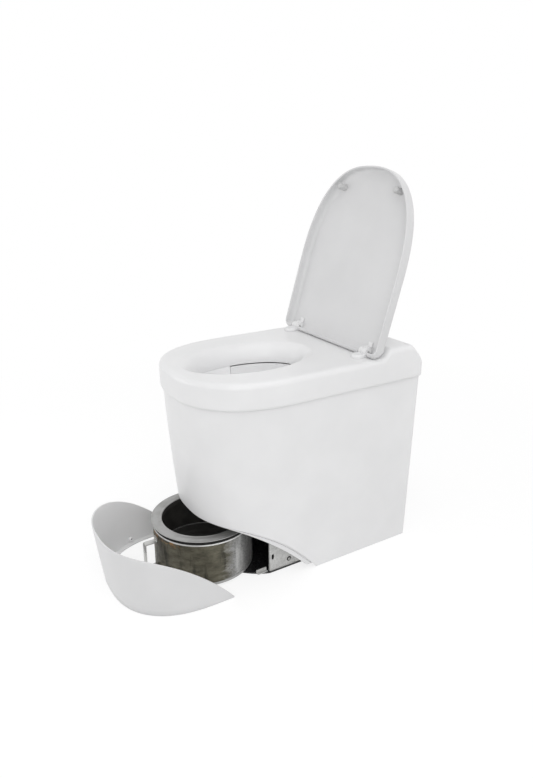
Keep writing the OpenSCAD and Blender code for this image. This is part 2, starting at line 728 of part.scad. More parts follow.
module bowl_bearings() {
    color("lightgray") at_front() bearing_plates();
    color("lightgray") at_rear() bearing_plates();
}

module bowl_motors() {
    color("dimgray") at_front() bowl_motor();
    color("dimgray") at_rear() bowl_motor();
}

// Ash pan, drawn at its seat under the chamber and moved out along the floor
ring_lip = 2;
ring_low = pan_gap + pan_h + gasket_h;
pan_top = ring_low + ring_h;

module as_pan() translate([0, pan_y - pan_out, 0]) children();

module ash_pan_body() {
    arc = [for (a = [0 : -15 : -90]) [pan_r - pan_roll_r + pan_roll_r * cos(a),
        pan_roll_r + pan_roll_r * sin(a)]];
    color("dimgray") as_pan() translate([0, 0, pan_gap]) difference() {
        rotate_extrude($fn = 128) polygon(concat([[0, pan_h], [pan_r, pan_h]], arc, [[0, 0]]));
        translate([0, 0, pan_wall]) cylinder(r = pan_r - pan_wall - pan_roll_r / 2, h = pan_h, $fn = 128);
    }
}

module pan_ring() {
    lip = ring_lip;
    edge = 0.7 * ring_h;
    color("silver") as_pan() translate([0, 0, ring_low]) rotate_extrude($fn = 128)
        polygon([[ring_r, edge], [ring_r, ring_h], [ring_bore_r, ring_h], [ring_bore_r, -ring_h / 2],
            [ring_bore_r + lip, -ring_h / 2], [ring_bore_r + lip, ring_h - lip],
            [ring_r - lip, ring_h - lip], [ring_r - lip, edge]]);
}

module pan_gasket() {
    color("black") as_pan() translate([0, 0, pan_gap + pan_h + seat_gap])
        tube(pan_r - 1, ring_bore_r + ring_lip + 1, gasket_h + ring_h - ring_lip - 2 * seat_gap, $fn = 128);
}

handle_below = 22;
handle_top = pan_gap + pan_h - handle_below;
handle_low = handle_top - handle_drop;
handle_in = -pan_r - seat_gap;
foot_rise = handle_w - 2 * handle_t;

module pan_handle() {
    front = -pan_r - handle_reach;
    color("silver") as_pan() {
        block([-handle_w / 2, front, handle_low], [handle_w / 2, front + handle_t, handle_top]);
        for (z = [handle_top - handle_t, handle_low])
            block([-handle_w / 2, front, z], [handle_w / 2, handle_in, z + handle_t]);
        for (z = [handle_top - handle_t, handle_low - foot_rise])
            block([-handle_w / 2, handle_in - handle_t, z],
                [handle_w / 2, handle_in, z + foot_rise + handle_t]);
    }
}

module handle_bolts() {
    color("silver") as_pan() for (z = [handle_top + foot_rise / 2, handle_low - foot_rise / 2])
        translate([0, handle_in - handle_t, z]) mirror([0, 1, 0]) along_y()
            cylinder(r = 0.22 * handle_w, h = handle_t);
}

// Fixing bosses on the inner wall of the front panel
boss_y = 142;
boss_z = 16;
boss_turn = 17;
boss_len = 7;

module panel_boss() {
    part = pow((boss_y - straight_floor) / floor_l, front_power);
    wall_x = (floor_w - panel_wall) * pow(1 - part, 1 / front_power);
    color("silver") translate([0, -panel_out, 0]) both_sides() translate([wall_x - 1, -boss_y, boss_z])
        rotate([0, 0, -boss_turn]) mirror([1, 0, 0]) along_x() cylinder(r = panel_boss_r, h = boss_len);
}

// Base plate and chassis
plate_side = floor_w - casing_wall - pass_gap;
plate_rear = floor_rear - casing_wall - pass_gap;
corner_cut = rear_corner_r / 2;
panel_t = 2.5;
rear_panel_y = plate_rear - panel_t;
runner_t = pan_gap - base_t - seat_gap;
seal_h = 3;
plate_front = 15 - scoop_end;
top_plate_z = pan_top + seal_h;
chamber_z = top_plate_z + sheet_t;
jacket_t = 1.5;
liner_t = 2;
cover_t = 3;
insulation_in = chamber_r + liner_t + seat_gap;
insulation_out = insulation_in + insulation_t;
jacket_r = insulation_out + seat_gap + jacket_t;

module base_plate() {
    edge_x = chassis_x + 1;
    color("black") linear_extrude(height = base_t) union() {
        intersection() {
            translate([0, pan_y]) circle(r = base_front_r, $fn = 128);
            translate([-edge_x, pan_y - base_front_r]) square([2 * edge_x, 2 * base_front_r]);
        }
        translate([-edge_x, -chassis_front]) square([2 * edge_x, chassis_front + plate_rear]);
        polygon([[-plate_side, plate_front], [plate_side, plate_front],
            [plate_side, plate_rear - corner_cut], [plate_side - corner_cut, plate_rear],
            [corner_cut - plate_side, plate_rear], [-plate_side, plate_rear - corner_cut]]);
    }
}

module chassis_side() {
    front = -chassis_front;
    difference() {
        union() {
            block([chassis_x - sheet_t, front, base_t], [chassis_x, chassis_rear, top_plate_z]);
            block([chassis_x - chassis_flange, front, base_t], [chassis_x, front + sheet_t, top_plate_z]);
        }
        block([chassis_x - 2 * sheet_t, front + slot_in - slot_w / 2, slot_z - slot_h / 2],
            [chassis_x + 1, front + slot_in + slot_w / 2, slot_z + slot_h / 2]);
        for (y = screw_ys, z = screw_zs) translate([chassis_x - 2 * sheet_t, y, z]) along_x()
            cylinder(r = screw_r / 2 + run_gap, h = 4 * sheet_t);
    }
}

slot_in = 9;
screw_ys = [-62, 40];
screw_head_h = 2.2;
screw_end = 4;
screw_zs = [screw_z, top_plate_z - screw_z];

module chassis_side_right() color("silver") chassis_side();
module chassis_side_left() color("silver") mirror([1, 0, 0]) chassis_side();

module chassis_screws() {
    color("silver") both_sides() for (y = screw_ys, z = screw_zs) translate([chassis_x, y, z]) {
        along_x() cylinder(r = screw_r, h = screw_head_h);
        translate([-sheet_t - screw_end, 0, 0]) along_x()
            cylinder(r = screw_r / 2, h = sheet_t + screw_end + 1);
    }
}

module chassis_top_plate() {
    color("silver") translate([0, 0, top_plate_z]) difference() {
        linear_extrude(height = sheet_t) union() {
            translate([0, pan_y]) circle(r = jacket_r + 1, $fn = 128);
            translate([-chassis_x, -chassis_front]) square([2 * chassis_x, chassis_front + chassis_rear]);
        }
        translate([0, pan_y, -1]) cylinder(r = chamber_r, h = sheet_t + 2, $fn = 128);
    }
}

module pan_runners() {
    near = 0.7 * pan_r;
    far = near + 14;
    front = pan_y + 3 - sqrt(pow(base_front_r, 2) - pow(far, 2));
    color("silver") both_sides() block([near, front, base_t], [far, pan_y + pan_r, base_t + runner_t]);
}

clip_len = 28;

module pan_stop_clips() {
    clip_x = ring_r + 1;
    rear = -chassis_front - 2 * sheet_t;
    front = rear - clip_len;
    color("silver") both_sides() {
        block([clip_x, front, base_t], [clip_x + 9, rear, base_t + sheet_t]);
        block([clip_x, front, base_t], [clip_x + sheet_t, rear, base_t + 9]);
    }
}

// Frame of posts and rails that carries the top casing from the base plate
post_x = plate_side - post_w / 2 - 6;
post_back = 23;
post_ys = [chassis_rear + post_w / 2 + seat_gap, rear_panel_y - post_w / 2 - post_back];
rail_z = band_z - 17;

module frame_posts() {
    color("lightgray") both_sides() {
        for (y = post_ys) block([post_x - post_w / 2, y - post_w / 2, base_t],
            [post_x + post_w / 2, y + post_w / 2, deck_z(y) - deck_wall - seat_gap]);
        block([post_x - post_w / 2, post_ys[0], rail_z],
            [post_x + post_w / 2, post_ys[1], rail_z + post_w]);
        block([-1, post_ys[1] - post_w / 2, rail_z], [post_x, post_ys[1] + post_w / 2, rail_z + post_w]);
    }
}

// Combustion chamber round the axis over the ash pan's seat
chamber_top = chamber_z + chamber_h;
port_z = chamber_z + chamber_h * 0.6;
element_z = chamber_z + chamber_h * 0.7;
lead_turns = [170, 190];
probe_turn = 150;
probe_r = 3;

module in_chamber() translate([0, pan_y, 0]) children();

module chamber_ports() {
    long = jacket_r + 20;
    for (t = lead_turns) rotate([0, 0, t]) translate([0, 0, element_z]) along_x()
        cylinder(r = element_r + seat_gap, h = long);
    rotate([0, 0, probe_turn]) translate([0, 0, element_z]) along_x()
        cylinder(r = probe_r + seat_gap, h = long);
    translate([0, 0, port_z]) along_y() cylinder(r = port_r + seat_gap, h = long);
}

module chamber_liner() {
    color("gray") in_chamber() difference() {
        translate([0, 0, chamber_z]) tube(chamber_r + liner_t, chamber_r, chamber_h, $fn = 128);
        chamber_ports();
    }
}

module chamber_insulation() {
    color("ivory") in_chamber() difference() {
        translate([0, 0, chamber_z + seat_gap])
            tube(insulation_out, insulation_in, chamber_h - 2 * seat_gap, $fn = 128);
        chamber_ports();
    }
}

module chamber_jacket() {
    color("silver") in_chamber() difference() {
        translate([0, 0, chamber_z]) tube(jacket_r, jacket_r - jacket_t, chamber_h, $fn = 128);
        chamber_ports();
    }
}

module chamber_top_ring() {
    color("silver") in_chamber() translate([0, 0, chamber_top])
        tube(jacket_r, chamber_mouth_r, cover_t, $fn = 128);
}

module chamber_seal() {
    color("black") in_chamber() translate([0, 0, pan_top + seat_gap])
        tube(ring_bore_r + 12, ring_bore_r + 4, top_plate_z - pan_top - seat_gap, $fn = 128);
}

module heating_element() {
    coil_r = chamber_r - element_in - element_r;
    color("saddlebrown") in_chamber() translate([0, 0, element_z]) {
        rotate([0, 0, lead_turns[1]]) rotate_extrude(angle = 360 + lead_turns[0] - lead_turns[1], $fn = 128)
            translate([coil_r, 0]) circle(r = element_r, $fn = 32);
        for (t = lead_turns) rotate([0, 0, t]) translate([coil_r, 0, 0]) along_x()
            cylinder(r = element_r, h = jacket_r + 12 - coil_r);
    }
}

module temperature_probe() {
    tip = chamber_r - 12;
    color("silver") in_chamber() rotate([0, 0, probe_turn]) translate([tip, 0, element_z]) along_x() {
        cylinder(r = probe_r, h = jacket_r + 4 - tip);
        translate([0, 0, jacket_r - tip + seat_gap]) cylinder(r = 2.3 * probe_r, h = 7);
    }
}

hatch_z = chamber_top + cover_t + seat_gap;
arm_t = 4;
arm_z = hatch_z + hatch_t;
arm_half = 9;
hatch_reach = norm([hatch_shaft_x, hatch_shaft_y - pan_y]);
bearing_z = chamber_top - 20;
hatch_shaft_low = bearing_z - 38;

module chamber_hatch() {
    color("gray") in_chamber() translate([0, 0, hatch_z]) cylinder(r = hatch_r, h = hatch_t, $fn = 128);
}

module hatch_shaft() {
    color("silver") translate([hatch_shaft_x, hatch_shaft_y, 0]) {
        translate([0, 0, hatch_shaft_low]) cylinder(r = hatch_shaft_r, h = arm_z + arm_t - hatch_shaft_low);
        rotate([0, 0, atan2(pan_y - hatch_shaft_y, -hatch_shaft_x)])
            block([0, -arm_half, arm_z], [hatch_reach, arm_half, arm_z + arm_t]);
    }
}

bearing_t = 12;
bracket_t = 3;
bracket_x = hatch_shaft_x + 15;

module hatch_bearing() {
    near = hatch_shaft_x - 2 * hatch_shaft_r;
    far = bracket_x + bracket_t;
    front = hatch_shaft_y - 14;
    rear = hatch_shaft_y + 14;
    color("lightgray") difference() {
        union() {
            block([near - 4, front, chamber_z], [far, rear, chamber_z + bracket_t]);
            block([bracket_x, front, chamber_z], [far, rear, bearing_z + bearing_t]);
            block([near, front, bearing_z], [far, rear, bearing_z + bearing_t]);
        }
        translate([hatch_shaft_x, hatch_shaft_y, bearing_z - 1])
            cylinder(r = hatch_shaft_r + run_gap, h = bearing_t + 2);
    }
}

module hatch_motor() {
    low = chamber_z + bracket_t + seat_gap;
    color("dimgray") translate([hatch_shaft_x, hatch_shaft_y, 0]) difference() {
        translate([0, 0, low]) cylinder(r = 13.5, h = hatch_shaft_low + 10 - low);
        translate([0, 0, hatch_shaft_low - seat_gap]) cylinder(r = hatch_shaft_r + seat_gap, h = 40);
    }
}

// Exhaust: port, catalyst, fan, duct and spigot in one line to the rear
tube_t = 2;
duct_tail = 46;
port_front = pan_y + sqrt(pow(chamber_r, 2) - pow(port_r, 2));
catalyst_y = pan_y + jacket_r + 20;
duct_rear = rear_panel_y - duct_gap;
catalyst_len = duct_rear - duct_tail - fan_d - seat_gap - catalyst_y;
fan_y = catalyst_y + catalyst_len + seat_gap;
duct_w = spigot_r + 5;
duct_top = port_z - fan_r - tube_t;
spigot_end = rear_y + spigot_reach;
spigot_step = 1.5;
throat_w = 26;
throat_in = 6;

module exhaust_port() {
    color("silver") translate([0, port_front, port_z]) along_y()
        tube(port_r, port_r - tube_t, catalyst_y + tube_t - port_front);
}

module catalyst_housing() {
    color("silver") translate([0, catalyst_y, port_z]) along_y() difference() {
        cylinder(r = catalyst_r, h = catalyst_len);
        translate([0, 0, tube_t]) cylinder(r = catalyst_r - tube_t, h = catalyst_len - 2 * tube_t);
        translate([0, 0, -1]) cylinder(r = port_r + seat_gap, h = 2 * tube_t);
        translate([0, 0, catalyst_len - tube_t - 1]) cylinder(r = catalyst_r - 3 * tube_t, h = 2 * tube_t);
    }
}

module catalyst_core() {
    cell = 9;
    ends = 12;
    core_r = catalyst_r - tube_t - seat_gap;
    color("tan") translate([0, catalyst_y + ends, port_z]) along_y() difference() {
        cylinder(r = core_r, h = catalyst_len - 2 * ends);
        for (i = [-3 : 3], j = [-3 : 3])
            let (x = cell * (i + j / 2), y = cell * j * sin(60))
            if (norm([x, y]) < core_r - cell / 2) translate([x, y, -1])
                cylinder(r = cell / 3, h = catalyst_len);
    }
}

module fan_housing() {
    color("silver") translate([0, fan_y, port_z]) difference() {
        union() {
            along_y() cylinder(r = fan_r, h = fan_d, $fn = 96);
            block([-throat_w, throat_in, seat_gap - fan_r - tube_t],
                [throat_w, fan_d - throat_in, -fan_r / 2]);
        }
        translate([0, tube_t, 0]) along_y() cylinder(r = fan_r - tube_t, h = fan_d - 2 * tube_t, $fn = 96);
        translate([0, -1, 0]) along_y() cylinder(r = catalyst_r - 3 * tube_t, h = 2 * tube_t);
        translate([0, fan_d - tube_t - 1, 0]) along_y() cylinder(r = fan_shaft_r + 1, h = 2 * tube_t);
        block([tube_t - throat_w, throat_in + tube_t, -fan_r - tube_t - 1],
            [throat_w - tube_t, fan_d - throat_in - tube_t, -fan_r / 2]);
    }
}

fan_shaft_r = 4;
fan_motor_r = 26;
fan_motor_len = 40;

module fan_impeller() {
    disc_y = fan_d - 10;
    blade_y = 8;
    blade_t = 1.5;
    color("lightgray") translate([0, fan_y, port_z]) {
        translate([0, blade_y, 0]) along_y() cylinder(r = impeller_r / 4, h = disc_y - blade_y);
        translate([0, disc_y, 0]) along_y() cylinder(r = impeller_r, h = 2, $fn = 96);
        translate([0, disc_y, 0]) along_y() cylinder(r = fan_shaft_r, h = fan_d + 6 - disc_y);
        for (i = [0 : blades - 1]) rotate([0, 360 * i / blades, 0])
            block([0.55 * impeller_r, blade_y, -blade_t / 2], [impeller_r - 1, disc_y + 1, blade_t / 2]);
    }
}

module fan_motor() {
    color("dimgray") translate([0, fan_y + fan_d + seat_gap, port_z]) along_y() difference() {
        cylinder(r = fan_motor_r, h = fan_motor_len);
        translate([0, 0, -1]) cylinder(r = fan_shaft_r + run_gap, h = 8);
    }
}

module exhaust_duct() {
    low = spigot_z - duct_w;
    color("silver") difference() {
        block([-duct_w, fan_y, low], [duct_w, duct_rear, duct_top]);
        block([tube_t - duct_w, fan_y + tube_t, low + tube_t],
            [duct_w - tube_t, duct_rear - tube_t, duct_top - tube_t]);
        block([tube_t - throat_w, fan_y + throat_in + tube_t, duct_top - tube_t - 1],
            [throat_w - tube_t, fan_y + fan_d - throat_in - tube_t, duct_top + 1]);
        translate([0, duct_rear - tube_t - 1, spigot_z]) along_y()
            cylinder(r = spigot_r - tube_t - spigot_step, h = 2 * tube_t);
    }
}

// A spigot's free end is a little wider than the neck that passes through the rear panel.
module spigot(r, inside) {
    shoulder = plate_rear + seat_gap;
    translate([0, shoulder, 0]) along_y() tube(r, r - tube_t - spigot_step, spigot_end - shoulder, $fn = 96);
    translate([0, inside, 0]) along_y()
        tube(r - spigot_step, r - tube_t - spigot_step, shoulder + 1 - inside, $fn = 96);
}

module exhaust_spigot() {
    color("silver") translate([0, 0, spigot_z]) spigot(spigot_r, duct_rear + seat_gap);
}

// Rear panel and what passes through it
panel_drop = 8;
socket_in = 95;
socket_x = socket_in - half_w;
inlet_x = half_w - inlet_in;
socket_z = 60;
socket_w = 48;
socket_h = 28;

module rear_panel() {
    color("white") difference() {
        block([corner_cut - plate_side, rear_panel_y, base_t + seat_gap],
            [plate_side - corner_cut, plate_rear, casing_top - panel_drop]);
        translate([0, rear_panel_y - 1, spigot_z]) along_y()
            cylinder(r = spigot_r - spigot_step + seat_gap, h = 2 * panel_t, $fn = 96);
        translate([inlet_x, rear_panel_y - 1, inlet_z]) along_y()
            cylinder(r = inlet_r - spigot_step + seat_gap, h = 2 * panel_t, $fn = 96);
        translate([socket_x, 0, socket_z])
            block([-socket_w / 2 - seat_gap, rear_panel_y - 1, -socket_h / 2 - seat_gap],
                [socket_w / 2 + seat_gap, plate_rear + 1, socket_h / 2 + seat_gap]);
    }
}

module rear_panel_screws() {
    x = floor_w - rear_corner_r - rear_flange / 2;
    color("silver") both_sides() for (k = [1, 4, 7]) let (z = casing_top * k / 8)
        translate([x, casing_spot([REAR, 0], z, 0).y + seat_gap, z]) along_y() cylinder(r = 4, h = 2.4);
}

module air_inlet_spigot() {
    flange_y = rear_panel_y - tube_t - seat_gap;
    color("gray") translate([inlet_x, 0, inlet_z]) {
        spigot(inlet_r, rear_panel_y - 20);
        translate([0, flange_y, 0]) along_y() tube(inlet_r + 8, inlet_r - spigot_step - 1, tube_t, $fn = 96);
    }
}

module power_inlet() {
    rim = 4;
    color("black") translate([socket_x, 0, socket_z]) {
        difference() {
            union() {
                block([-socket_w / 2, rear_panel_y - 18, -socket_h / 2],
                    [socket_w / 2, plate_rear + 2, socket_h / 2]);
                block([-socket_w / 2 - rim, plate_rear + seat_gap, -socket_h / 2 - rim],
                    [socket_w / 2 + rim, plate_rear + seat_gap + 2, socket_h / 2 + rim]);
            }
            block([-12, rear_panel_y - 12, -8], [12, rear_y, 8]);
        }
        for (x = [-7, 0, 7]) block([x - 1, rear_panel_y - 14, -2], [x + 1, plate_rear - 1, 2]);
    }
}

board_in = 135;
board_x = board_in - half_w;
board_z = 360;
board_y = rear_panel_y - 14;
board_t = 1.6;

module control_board() {
    color("darkgreen") translate([board_x, board_y, board_z]) {
        block([-board_w / 2, 0, -board_h / 2], [board_w / 2, board_t, board_h / 2]);
        for (i = [-1 : 1]) block([i * 26 - 9, -15, -30], [i * 26 + 9, 0, -14]);
        for (i = [-1, 1]) translate([i * 30, -22, 18]) along_y() cylinder(r = 8, h = 22);
        block([-14, -4, 8], [14, 0, 32]);
    }
}

module board_standoffs() {
    color("silver") for (i = [-1, 1], j = [-1, 1])
        translate([board_x + i * (board_w / 2 - 6), board_y + board_t,
            board_z + j * (board_h / 2 - 6)]) along_y()
            cylinder(r = 3, h = rear_panel_y - board_y - board_t);
}

// Start button and lenses on the ridge behind the lid
module start_button() {
    button_h = 16;
    color("silver") translate([0, button_y, ridge_z + button_travel - button_h])
        cylinder(r = button_r, h = button_h);
}

module button_housing() {
    top = ridge_z - deck_wall - seat_gap;
    deep = 18;
    color("dimgray") translate([0, button_y, top - deep]) difference() {
        cylinder(r = button_r + 5, h = deep);
        translate([0, 0, 3]) cylinder(r = button_r + run_gap, h = deep);
    }
}

module status_lenses() {
    color("lightblue") for (x = lens_xs) translate([x, button_y, ridge_z - deck_wall])
        cylinder(r = lens_r, h = deck_wall + 0.8);
}

base_plate();
chassis_side_right();
chassis_side_left();
chassis_top_plate();
chassis_screws();
pan_runners();
pan_stop_clips();
frame_posts();
outer_casing();
casing_lip();
rear_panel();
rear_panel_screws();
top_casing();
hinge_feet();
hinge_bolts();
hinge_pins();
lid();
lid_hinge_arms();
lid_bumpers();
bowl_front_half();
bowl_rear_half();
bowl_front_shaft();
bowl_rear_shaft();
bowl_front_arms();
bowl_rear_arms();
bowl_bearings();
bowl_motors();
chamber_liner();
chamber_insulation();
chamber_jacket();
chamber_top_ring();
chamber_seal();
heating_element();
temperature_probe();
chamber_hatch();
hatch_shaft();
hatch_bearing();
hatch_motor();
exhaust_port();
catalyst_housing();
catalyst_core();
fan_housing();
fan_impeller();
fan_motor();
exhaust_duct();
exhaust_spigot();
air_inlet_spigot();
power_inlet();
control_board();
board_standoffs();
start_button();
button_housing();
status_lenses();
ash_pan_body();
pan_ring();
pan_gasket();
pan_handle();
handle_bolts();
front_panel();
panel_boss();
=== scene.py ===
"""Looks of an incinerating toilet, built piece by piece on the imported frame."""

import json
import logging
import math
from dataclasses import dataclass, field
from enum import Enum
from typing import Callable, Iterable, Sequence

import bmesh
import bpy
from mathutils import Matrix, Vector

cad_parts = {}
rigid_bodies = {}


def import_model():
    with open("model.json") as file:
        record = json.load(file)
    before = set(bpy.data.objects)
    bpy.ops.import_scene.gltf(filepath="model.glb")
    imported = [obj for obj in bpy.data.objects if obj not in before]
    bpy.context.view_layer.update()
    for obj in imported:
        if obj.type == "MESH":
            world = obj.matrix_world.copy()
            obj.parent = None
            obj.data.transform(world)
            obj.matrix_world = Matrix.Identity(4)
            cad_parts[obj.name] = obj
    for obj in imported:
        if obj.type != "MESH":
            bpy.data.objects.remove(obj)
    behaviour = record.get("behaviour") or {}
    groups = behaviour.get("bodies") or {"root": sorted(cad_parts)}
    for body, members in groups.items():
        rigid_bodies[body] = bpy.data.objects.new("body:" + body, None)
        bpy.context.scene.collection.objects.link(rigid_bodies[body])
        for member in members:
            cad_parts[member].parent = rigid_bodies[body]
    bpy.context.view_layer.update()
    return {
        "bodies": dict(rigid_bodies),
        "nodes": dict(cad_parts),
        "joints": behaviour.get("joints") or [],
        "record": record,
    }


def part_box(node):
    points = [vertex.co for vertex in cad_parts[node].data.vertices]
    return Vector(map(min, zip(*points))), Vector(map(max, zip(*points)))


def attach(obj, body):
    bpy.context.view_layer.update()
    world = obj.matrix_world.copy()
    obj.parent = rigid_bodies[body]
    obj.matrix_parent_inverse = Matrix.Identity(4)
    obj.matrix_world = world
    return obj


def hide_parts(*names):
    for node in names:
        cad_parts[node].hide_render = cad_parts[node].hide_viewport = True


LOG = logging.getLogger("toilet")
MM = 0.001
WHITE = (1.0, 1.0, 1.0)
BLACK = (0.0, 0.0, 0.0)

# Metres within which points are merged, and length under which an edge is dissolved.
WELD = 2e-6
TINY = 1e-6

# Steps of a bevel, and the angle in degrees over which an edge gets one.
BEVEL_STEPS = 2
BEVEL_OVER = 30.0

Point = tuple[float, float, float]
Flat = tuple[float, float]
Row = list[Point]

# Sizes in millimetres that more than one sub-assembly uses.
BAND_Z = 457
SEAT_Z = 519
RIDGE_Z = 540
HINGE_X = 146
HINGE_FOOT_Y = 124
HINGE_PIN: Flat = (146, 530)
KNUCKLE_R = 10.2
PIN_HOLE = 3.05
BOLT_HOLE = 4.05
BOWL_Y = -95
BUTTON: Flat = (0, 222.25)
LENS_XS: tuple[float, ...] = (24, 36, 48)
EXHAUST: Flat = (0, 100)
AIR_INLET: Flat = (92, 380)


def rad(degrees: float) -> float:
    """Degrees as radians."""
    return math.radians(degrees)


def cos(degrees: float) -> float:
    """Cosine of an angle in degrees."""
    return math.cos(rad(degrees))


def sin(degrees: float) -> float:
    """Sine of an angle in degrees."""
    return math.sin(rad(degrees))


def span(low: float, high: float, steps: int) -> list[float]:
    """Evenly spaced values from low to high, both included."""
    return [low + (high - low) * i / steps for i in range(steps + 1)]


def arc(x: float, y: float, r: float, low: float, high: float, steps: int) -> list[Flat]:
    """Points of an arc round a middle, between two angles in degrees."""
    return [(x + r * cos(a), y + r * sin(a)) for a in span(low, high, steps)]


def ease(value: float, low: float, high: float) -> float:
    """Smooth step of a value between two limits, from 0 to 1."""
    t = min(max((value - low) / (high - low), 0.0), 1.0)
    return t * t * (3 - 2 * t)


def between(p: Flat, q: Flat, share: float) -> Flat:
    """Point on the line between two points."""
    return (p[0] + (q[0] - p[0]) * share, p[1] + (q[1] - p[1]) * share)


class Axis(Enum):
    """Direction along which a turned or extruded shape runs."""

    X = "x"
    Y = "y"
    Z = "z"
    MINUS_Y = "-y"
    MINUS_X = "-x"

    def place(self, a: float, b: float, along: float) -> Point:
        """Point with two coordinates across this axis and one along it.

        Args:
            a: the first coordinate across.
            b: the second coordinate across.
            along: the coordinate along it.

        Returns:
            The point.
        """
        if self is Axis.X:
            return (along, a, b)
        if self is Axis.Y:
            return (b, along, a)
        if self is Axis.MINUS_Y:
            return (a, -along, b)
        if self is Axis.MINUS_X:
            return (-along, b, a)
        return (a, b, along)


class Pattern(Enum):
    """Kinds of surface that the materials are made of."""

    PLASTIC = "moulded plastic"
    PAINT = "painted metal"
    GALVANISED = "galvanised sheet"
    STAINED = "heat stained steel"
    # Burnt steel with a band of painted reflection.
    SCORCHED = "scorched steel"
    BRUSHED = "brushed steel"
    GLOSS = "enamelled plate"
    RUBBER = "rubber"
    FIBRE = "ceramic fibre"
    CERAMIC = "fired ceramic"
    BOARD = "circuit board"
    LENS = "clear lens"


@dataclass(frozen=True)
class Finish:
    """One finish of the object.

    Args:
        name: the material slot of the record that it stands for.
        pattern: what kind of surface it is.
        colour: linear base colour.
        roughness: middle roughness.
        second: linear colour of its stains, specks or grain; on the pan's steel, of its band of painted reflection.
        amount: how strongly that second colour shows, from 0 to 1.
        grain: how many grains there are in a metre.
        relief: depth of the grain in millimetres.
        metal: how metallic it is, from 0 to 1.
        shade: name of a lighter or darker version of it.
    """

    name: str
    pattern: Pattern
    colour: Point
    roughness: float
    second: Point = (0.1, 0.1, 0.1)
    amount: float = 0.2
    grain: float = 600.0
    relief: float = 0.02
    metal: float = 1.0
    shade: str = ""


